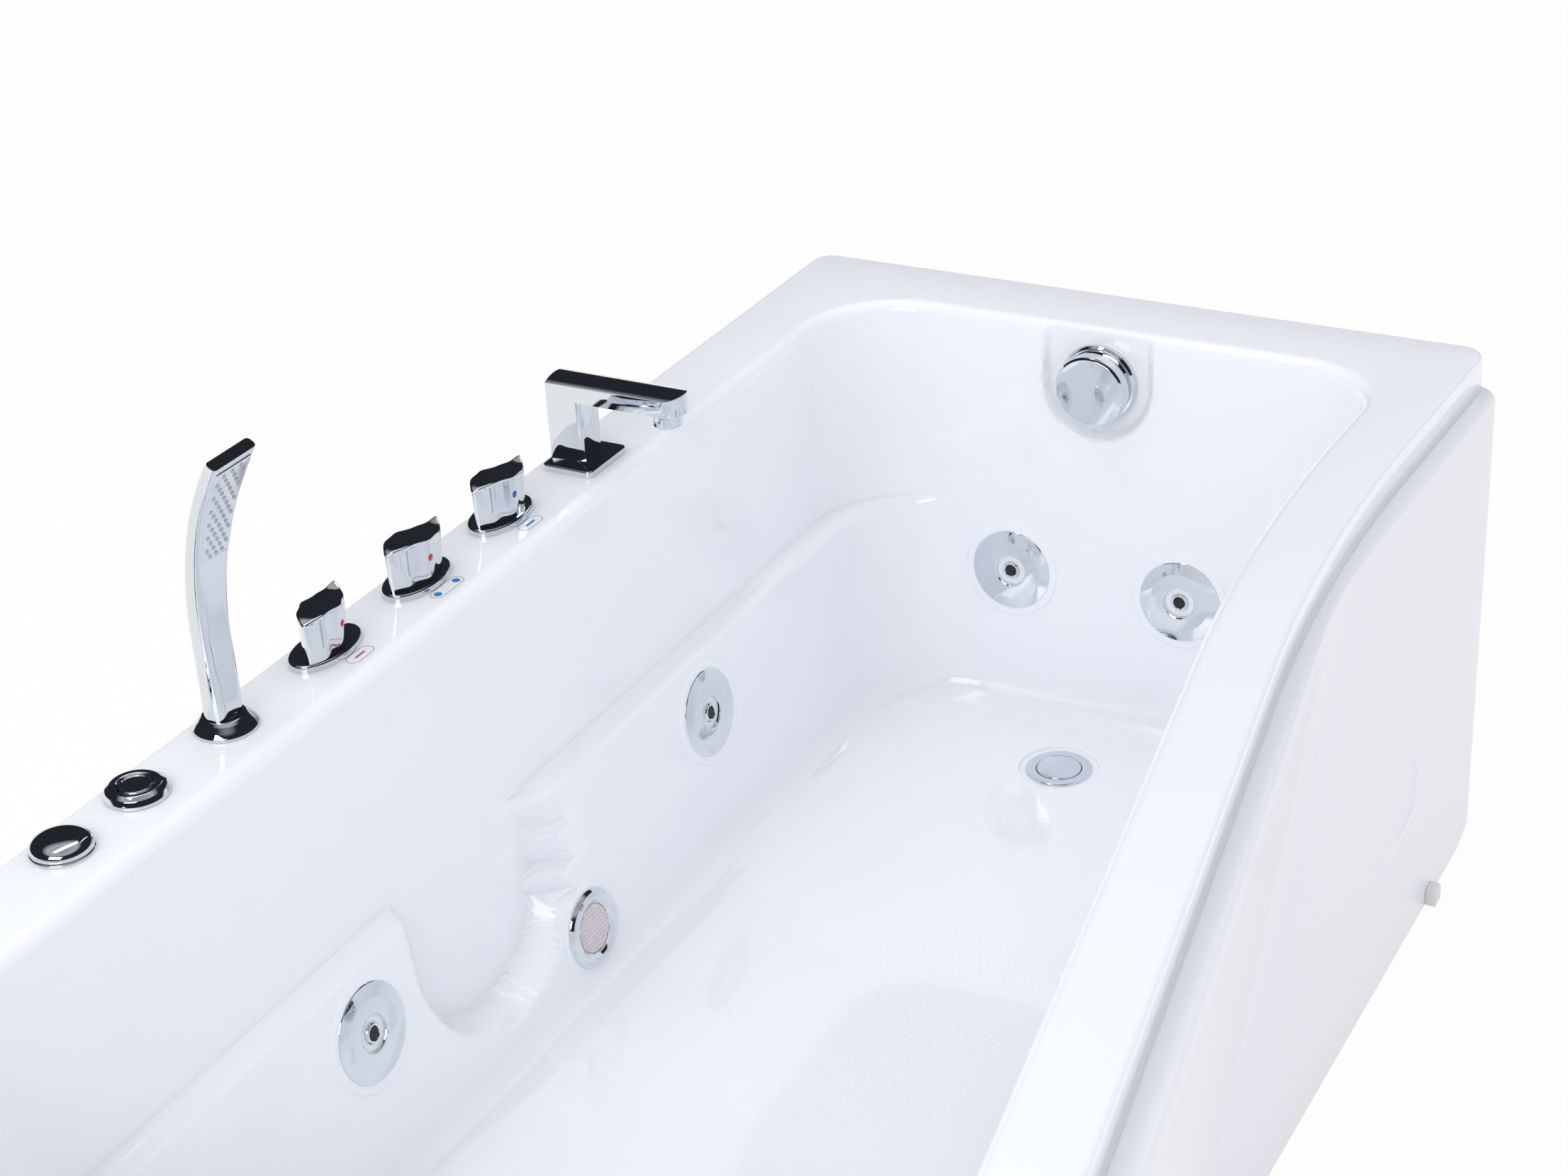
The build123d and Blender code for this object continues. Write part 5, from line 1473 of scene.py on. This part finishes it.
@dataclass
class WallFittings:
    """Jets, underwater light and their seat rings on the basin walls."""

    jets: dict[str, Seat] = field(default_factory=lambda: {
        "rear_drain_side": Seat((-549.0, -133.1, 285.8), (0.0, -0.9866, 0.1629)),
        "rear_head_side": Seat((-1166.0, -133.1, 285.8), (0.0, -0.9866, 0.1629)),
        "end_rear_side": Seat((-126.4, -298.0, 285.9), (-0.9973, 0.0, 0.0739)),
        "end_front_side": Seat((-126.4, -504.0, 285.9), (-0.9973, 0.0, 0.0739)),
        "front_drain_side": Seat((-548.9, -682.3, 285.8), (-0.0813, 0.9786, 0.1888)),
        "front_head_side": Seat((-1129.9, -755.7, 285.5), (-0.1155, 0.8942, 0.4326))})
    light: Seat = Seat((-828.0, -148.9, 189.8), (0.0, -0.9866, 0.1629))
    suction: Seat = Seat((-849.9, -699.7, 227.6), (-0.0849, 0.9305, 0.3564))
    jet_pad: Pair = (45.0, 57.0)
    light_pad: Pair = (38.0, 46.0)
    suction_pad: Pair = (50.0, 60.0)
    pad_top: float = 2.1
    flange: tuple[Pair, ...] = ((12.3, -24), (21, -24), (21, 0), (46.5, 0), (48, 1.4), (47, 3.0), (34, 4.6),
                                (19.5, 5.4), (17.8, 4.6), (17.0, 0.4), (15.4, -1.8), (12.7, -2.6),
                                (12.3, -4.0))
    # Profile of a thin black ring of painted shade in the gap between flange and ball.
    gap: tuple[Pair, ...] = ((12.8, -2.7), (15.5, -1.9), (15.6, -1.2), (12.8, -2.2))
    ball: float = 12.0
    ball_centre: float = -6.0
    nozzle_bore: float = 6.1
    lip: tuple[Pair, ...] = ((10.4, 3.2), (9.3, 4.9), (7.6, 4.9), (6.4, 3.6), (6.1, 1.0))
    # Profile of a black disc of painted shade over the nozzle's bore.
    throat_shade: tuple[Pair, ...] = ((0.0, 4.0), (6.5, 4.0), (6.5, 4.3), (5.6, 4.2), (0.0, 4.1))
    bezel: tuple[Pair, ...] = ((25.3, -18), (28, -18), (28, 0), (41, 0), (41, 3), (38.5, 6.8), (34, 8.2),
                               (30, 7.2), (27, 5.0), (25.3, 4.2))
    lens: tuple[Pair, ...] = ((0.0, 0.5), (25.0, 0.5), (25.0, 3.6), (24.4, 4.2), (0.0, 4.6))
    facet: Pair = (2.4, 1.3)
    facet_pitch: float = 4.4
    facet_reach: float = 22.8
    facet_level: float = 4.3

    def pad(self, shape: Shape, seat: Seat, inner: float, outer: float) -> None:
        """Add the raised acrylic ring under a fitting.

        Args:
            shape: The shape of all rings.
            seat: The fitting's seat.
            inner: Inner radius.
            outer: Outer radius.
        """
        shape.move = seat.matrix()
        top = self.pad_top
        profile = soften([(inner, -1.0), (inner, top), (outer - 1.2, top), (outer + 1.6, -1.2)], 1.0)
        shape.lathe(profile, 96, loop=True)

    def build(self) -> None:
        """Make all wall fittings."""
        pads, flanges, gap_shades = Shape("seat_rings"), Shape("jet_flanges_polished"), Shape("jet_gap_shades")
        flange = soften(self.flange, 0.9, closed=True)
        for name, seat in self.jets.items():
            self.pad(pads, seat, *self.jet_pad)
            flanges.move = seat.matrix()
            flanges.lathe(flange, 80, loop=True)
            # The dark ring in the gap is painted shade.
            gap_shades.move = flanges.move
            gap_shades.lathe(self.gap, 64, loop=True)
            self.build_nozzle(name, seat)
        self.pad(pads, self.light, *self.light_pad)
        self.pad(pads, self.suction, *self.suction_pad)
        put(pads.mesh(), pads.name, ACRYLIC)
        put(flanges.mesh(), flanges.name, CHROME, stands_for=["jet_flanges"])
        put(gap_shades.mesh(), gap_shades.name, PAINTED_SHADE_BLACK)
        self.build_light()

    def build_nozzle(self, name: str, seat: Seat) -> None:
        """Make one ball nozzle with its lip and a black disc of painted shade in its throat.

        Args:
            name: The jet's name.
            seat: The jet's seat.
        """
        shape = Shape(f"nozzle_{name}_ball", seat)
        outside = [(self.ball * math.cos(a), self.ball_centre + self.ball * math.sin(a))
                   for a in spread(-0.72, 0.5, 12)]
        lip = soften([outside[-1], *self.lip], 0.7)
        shape.lathe([(self.nozzle_bore, -14.0)] + outside + lip[1:], 48, loop=True)
        put(shape.mesh(), shape.name, CHROME, f"nozzle_{name}", [f"jet_nozzle_{name}"])
        # A black disc of painted shade stands for the dark hole.
        throat_shade = Shape(f"nozzle_{name}_throat", seat)
        throat_shade.lathe(self.throat_shade, 32)
        put(throat_shade.mesh(), throat_shade.name, PAINTED_SHADE_BLACK, f"nozzle_{name}")

    def build_light(self) -> None:
        """Make the light's bezel and its faceted lens."""
        bezel = Shape("light_bezel_rounded", self.light)
        bezel.lathe(soften(self.bezel, 1.6, closed=True), 80, loop=True)
        put(bezel.mesh(), bezel.name, CHROME, stands_for=["light_bezel"])
        lens = Shape("light_lens_disc", self.light)
        lens.lathe(self.lens, 64)
        put(lens.mesh(), lens.name, LENS, stands_for=["light_lens"])
        move, pitch = self.light.matrix(), self.facet_pitch
        half = range(-6, 7)
        spots = [move @ Vector((i * pitch, j * pitch, self.facet_level))
                 for i in half for j in half if math.hypot(i, j) * pitch < self.facet_reach]
        ways = [move.to_3x3() @ Vector((0, 0, 1))] * len(spots)
        DotField("lens_facets", *self.facet, 6).build(spots, ways, LENS, "tub")


@dataclass
class Overflow:
    """The overflow's ring and turning knob, and the pop-up drain."""

    seat: Seat = Seat((-100.0, -396.0, 526.0), (-1, 0, 0), (0, 1, 0))
    drain: Seat = Seat((-254.0, -410.0, 0.0), (0, 0, 1), (1, 0, 0))
    ring: tuple[Pair, ...] = ((9, 0), (16, 0), (16, -20), (20, -20), (20, 0), (45, 0), (45, 4.5),
                              (42.5, 8.4), (36, 9), (9, 9))
    knob: tuple[Pair, ...] = ((0, -12), (8.95, -12), (8.95, 9.3), (33, 9.3), (35, 12.8), (39.5, 14),
                              (41, 16), (41, 29.5), (38.6, 31.4), (0, 32.2))
    flange: tuple[Pair, ...] = ((24, 66), (27, 66), (27, 115), (37.5, 115), (37.5, 116.2), (36, 117.5),
                                (26.6, 117.5), (25.8, 116.6), (25.6, 113.5), (24, 113.5))
    cap: tuple[Pair, ...] = ((0, 72), (4, 72), (4, 111.8), (23, 111.8), (23, 113.8), (25, 113.8),
                             (25, 117.2), (24.2, 118.2), (0, 118.8))
    guide: Pair = (8.0, 4.05)
    guide_levels: Pair = (77.5, 82.5)
    spoke: Pair = (7.0, 25.0)
    spoke_half: float = 3.0

    def build(self) -> None:
        """Make the four pieces."""
        ring = Shape("overflow_ring", self.seat)
        ring.lathe(soften(self.ring, 1.8, closed=True), 96, loop=True)
        put(ring.mesh(), ring.name, CHROME, stands_for=["overflow_flange"])
        knob = Shape("overflow_knob_drum", self.seat)
        knob.lathe(soften(self.knob, 1.5), 96)
        put(knob.mesh(), knob.name, CHROME, "overflow_control", ["overflow_knob"])
        flange = Shape("drain_ring", self.drain)
        flange.lathe(soften(self.flange, 0.6, closed=True), 80, loop=True)
        (outer, inner), (low, high) = self.guide, self.guide_levels
        flange.lathe([(outer, low), (outer, high), (inner, high), (inner, low)], 32, loop=True)
        for turn in range(4):
            self.add_spoke(flange, turn * math.pi / 2)
        put(flange.mesh(), flange.name, SATIN_CHROME, stands_for=["drain_flange"])
        cap = Shape("drain_cap_polished", self.drain)
        cap.lathe(soften(self.cap, 0.7), 80)
        put(cap.mesh(), cap.name, SATIN_CHROME, "drain_plug", ["drain_cap"])

    def add_spoke(self, shape: Shape, turn: float) -> None:
        """Add one spoke of the stem's guide.

        Args:
            shape: The drain ring's shape.
            turn: The spoke's angle about the stem, in radians.
        """
        c, s = math.cos(turn), math.sin(turn)
        half, (low, high) = self.spoke_half, self.guide_levels
        section = ((-half, low), (half, low), (half, high), (-half, high))
        loops = [shape.ring((reach * c - w * s, reach * s + w * c, z) for w, z in section)
                 for reach in self.spoke]
        shape.band(*loops)
        shape.lid(loops[0])
        shape.lid(loops[1])


@dataclass
class AntiSlip:
    """Fields of small raised dots on the basin's floor."""

    pitch: float = 8.0
    level: float = 117.95
    dot: Pair = (1.9, 0.35)
    fields: tuple[tuple[Pair, ...], ...] = (
        ((-325.0, -351.0), (-294.0, -424.0), (-397.0, -477.0), (-424.0, -414.0)),
        ((-948.0, -382.0), (-900.0, -405.0), (-699.0, -404.0), (-618.0, -372.0), (-579.0, -554.0),
         (-695.0, -580.0), (-890.0, -560.0)),
        ((-712.0, -222.0), (-685.0, -283.0), (-815.0, -321.0), (-835.0, -258.0)))

    @staticmethod
    def inside(outline: Sequence[Pair], x: float, y: float) -> bool:
        """Tell whether a point is inside an outline.

        Args:
            outline: Corners of the outline.
            x: The point's place along the tub.
            y: The point's place across it.

        Returns:
            True if it is inside.
        """
        crossings = 0
        for (xa, ya), (xb, yb) in zip(outline, (*outline[1:], outline[0])):
            if (ya > y) != (yb > y) and x < xa + (y - ya) * (xb - xa) / (yb - ya):
                crossings += 1
        return crossings % 2 == 1

    def build(self) -> None:
        """Stand the dots in staggered rows."""
        spots: list[Vector] = []
        for outline in self.fields:
            xs, ys = [p[0] for p in outline], [p[1] for p in outline]
            for i in range(int((max(xs) - min(xs)) / self.pitch) + 1):
                for j in range(int((max(ys) - min(ys)) / self.pitch) + 1):
                    x = min(xs) + i * self.pitch
                    y = min(ys) + (j + 0.5 * (i % 2)) * self.pitch
                    if self.inside(outline, x, y):
                        spots.append(Vector((x, y, self.level)))
        ways = [Vector((0, 0, 1))] * len(spots)
        DotField("anti_slip_dots", *self.dot, 6).build(spots, ways, ACRYLIC, "tub")


@dataclass
class Undercarriage:
    """What stands under and behind the shell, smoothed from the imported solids."""

    finishes: dict[str, Finish] = field(default_factory=lambda: {
        "panel_clip": WHITE, "support_board": BOARD, "frame_rails": STEEL, "frame_cross_members": STEEL,
        "adjusting_feet": RUBBER, "foot_lock_nuts": STEEL, "spout_aerator": CHROME, "deck_lock_nuts": BRASS,
        "mixing_pipes": BRASS, "hot_valve_body": BRASS, "diverter_valve_body": BRASS,
        "cold_valve_body": BRASS, "air_switch_body": GREY, "air_control_valve": GREY,
        "jet_bodies": WHITE, "light_housing": GREY,
        "suction_cover": CHROME, "suction_body": WHITE, "overflow_elbow": WHITE, "overflow_pipe": WHITE,
        "waste_trap": WHITE, "pump_motor": MOTOR, "pump_wet_end": GREY, "pump_bracket": STEEL,
        "water_pipe": WHITE, "suction_pipe": WHITE, "air_pipe": WHITE, "control_box": GREY,
        "spout_body": CHROME, "spout_base_plate": CHROME})
    bevels: dict[str, float] = field(default_factory=lambda: {
        "spout_body": 0.9, "spout_base_plate": 0.5, "spout_aerator": 0.5, "control_box": 3.0,
        "panel_clip": 1.0, "support_board": 1.0, "deck_lock_nuts": 0.6, "foot_lock_nuts": 0.6})
    smooth_angle: float = 30.0
    flat_angle: float = 1.5
    bevel_angle: float = 32.0
    weld: float = 1e-5

    def build(self) -> None:
        """Copy, merge, smooth and dress each node."""
        for node, finish in self.finishes.items():
            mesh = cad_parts[node].data.copy()
            mesh.name = f"{node}_smooth"
            tidy(mesh, math.radians(self.smooth_angle), self.weld)
            bevel = self.bevels.get(node)
            if bevel:
                mesh = self.bevelled(mesh, bevel)
            put(mesh, f"{node}_piece", finish, stands_for=[node])

    def bevelled(self, mesh: bpy.types.Mesh, width: float) -> bpy.types.Mesh:
        """Round a mesh's sharp edges.

        Args:
            mesh: The mesh.
            width: Width of the rounding in millimetres.

        Returns:
            The rounded mesh.
        """
        holder = bpy.data.objects.new("bevel_holder", mesh)
        bpy.context.scene.collection.objects.link(holder)
        flat = holder.modifiers.new("flat", "DECIMATE")
        flat.decimate_type, flat.angle_limit = "DISSOLVE", math.radians(self.flat_angle)
        edge = holder.modifiers.new("edge", "BEVEL")
        edge.width, edge.segments, edge.limit_method = width * MM, 3, "ANGLE"
        edge.angle_limit, edge.harden_normals = math.radians(self.bevel_angle), True
        done = bpy.data.meshes.new_from_object(holder.evaluated_get(bpy.context.evaluated_depsgraph_get()))
        bpy.data.objects.remove(holder)
        return done


# Studio

@dataclass
class Studio:
    """Camera, world, lamps and floor."""

    lens: float = 65.6
    sensor: float = 36.0
    azimuth: float = 29.708
    elevation: float = 27.796
    roll: float = 3.395
    position: Triple = (-2790.6, -1514.4, 1816.7)
    zenith: float = 0.83
    horizon: float = 0.98
    tint: Triple = (1.0, 1.005, 1.02)
    gloss_stops: tuple[tuple[float, Triple], ...] = (
        (0.0, (1.0, 1.0, 1.0)), (0.505, (1.0, 1.0, 1.0)), (0.535, (0.02, 0.022, 0.028)),
        (0.88, (0.02, 0.022, 0.028)), (0.94, (0.5, 0.5, 0.52)), (1.0, (0.35, 0.35, 0.37)))
    floor_reach: float = 14.0
    floor_drop: float = 0.0005
    floor_colour: Triple = (0.86, 0.86, 0.87)
    floor_glow: float = 0.95
    lamps: tuple[tuple[str, Triple, Triple, Pair, float], ...] = (
        ("key", (-3800.0, -700.0, 2500.0), (-700.0, -420.0, 300.0), (2.2, 1.4), 32.0),
        ("over", (-700.0, 300.0, 3300.0), (-800.0, -420.0, 300.0), (2.6, 0.5), 8.0))

    def build(self) -> None:
        """Set up the studio."""
        bpy.context.scene.view_settings.view_transform = "Standard"
        self.build_camera()
        self.build_world()
        self.build_floor()
        for name, place, aim, size, power in self.lamps:
            self.build_lamp(name, place, aim, size, power)

    def build_camera(self) -> None:
        """Stand the camera where the photograph was taken."""
        az, el, roll = (math.radians(a) for a in (self.azimuth, self.elevation, self.roll))
        ahead = Vector((math.cos(el) * math.cos(az), math.cos(el) * math.sin(az), -math.sin(el)))
        right = ahead.cross(Vector((0, 0, 1))).normalized()
        down = ahead.cross(right)
        across = right * math.cos(roll) + down * math.sin(roll)
        below = down * math.cos(roll) - right * math.sin(roll)
        data = bpy.data.cameras.new("photo_camera")
        data.lens, data.sensor_width, data.sensor_fit = self.lens, self.sensor, "HORIZONTAL"
        camera = bpy.data.objects.new("photo_camera", data)
        bpy.context.scene.collection.objects.link(camera)
        turn = Matrix((across, -below, -ahead)).transposed().to_4x4()
        camera.matrix_world = Matrix.Translation(in_frame(self.position)) @ turn
        bpy.context.scene.camera = camera

    def build_world(self) -> None:
        """White for the camera; for gloss, white below the horizon and a dark studio above it."""
        world = bpy.data.worlds.new("studio")
        bpy.context.scene.world = world
        graph = Graph(world)
        ray = graph.node("ShaderNodeLightPath")
        way = graph.node("ShaderNodeTexCoord")("Generated")
        height = graph.node("ShaderNodeSeparateXYZ", {}, {"Vector": way})("Z")
        stops = [(at, rgba(colour)) for at, colour in self.gloss_stops]
        studio = graph.node("ShaderNodeValToRGB", {"stops": stops}, {"Fac": height * 0.5 + 0.5})("Color")
        low, high = (rgba(tuple(level * part for part in self.tint))
                     for level in (self.horizon, self.zenith))
        plain = graph.blend(height.at_least(0.0), low, high)
        seen = graph.blend(ray("Is Glossy Ray"), plain, studio)
        white = ray("Is Camera Ray").at_least(ray("Is Transmission Ray"))
        colour = graph.blend(white, seen, rgba((1.0, 1.0, 1.0)))
        light = graph.node("ShaderNodeBackground", {}, {"Color": colour, "Strength": 1.0})("Background")
        graph.node("ShaderNodeOutputWorld", {}, {"Surface": light})

    def build_floor(self) -> None:
        """A white floor that keeps a soft shadow."""
        mesh = bpy.data.meshes.new("floor")
        reach = self.floor_reach
        mesh.from_pydata([(-reach, -reach, 0), (reach, -reach, 0), (reach, reach, 0), (-reach, reach, 0)],
                         [], [(0, 1, 2, 3)])
        made = bpy.data.materials.new("floor_white")
        graph = Graph(made)
        ray = graph.node("ShaderNodeLightPath")
        lit = graph.node("ShaderNodeBsdfDiffuse", {}, {"Color": rgba(self.floor_colour)})("BSDF")
        glow = graph.node("ShaderNodeEmission", {}, {"Color": rgba((1, 1, 1)), "Strength": 1.0})("Emission")
        seen = ray("Is Camera Ray").at_least(ray("Is Glossy Ray")) * self.floor_glow
        mixed = graph.node("ShaderNodeMixShader", {}, {0: seen, 1: lit, 2: glow})("Shader")
        graph.node("ShaderNodeOutputMaterial", {}, {"Surface": mixed})
        mesh.materials.append(made)
        floor = bpy.data.objects.new("floor", mesh)
        bpy.context.scene.collection.objects.link(floor)
        floor.location.z = -self.floor_drop
        floor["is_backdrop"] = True

    def build_lamp(self, name: str, place: Triple, aim: Triple, size: Pair, power: float) -> None:
        """Hang one soft box.

        Args:
            name: The lamp's name.
            place: Where it hangs.
            aim: The point that it faces.
            size: Its width and depth in metres.
            power: Its power in watts.
        """
        data = bpy.data.lights.new(name, "AREA")
        data.shape, data.size, data.size_y = "RECTANGLE", size[0], size[1]
        data.energy = power
        lamp = bpy.data.objects.new(name, data)
        bpy.context.scene.collection.objects.link(lamp)
        start, end = in_frame(place), in_frame(aim)
        turn = (end - start).to_track_quat("-Z", "Y").to_matrix().to_4x4()
        lamp.matrix_world = Matrix.Translation(start) @ turn


def corners(box: tuple[Vector, Vector]) -> list[list[float]]:
    """A box as plain lists."""
    return [[float(c) for c in corner] for corner in box]


def main() -> None:
    """Build the tub's looks in order."""
    logging.basicConfig(level=logging.INFO, format="%(message)s")
    packed = corners(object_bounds())
    for builder in (TubShell(), FrontPanel(), Taps(), DeckMarks(), HandShower(), DeckControls(),
                    WallFittings(), Overflow(), AntiSlip(), Undercarriage(), Studio()):
        LOG.info("building %s", type(builder).__name__)
        builder.build()
    corners(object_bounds())


if __name__ == "__main__":
    main()
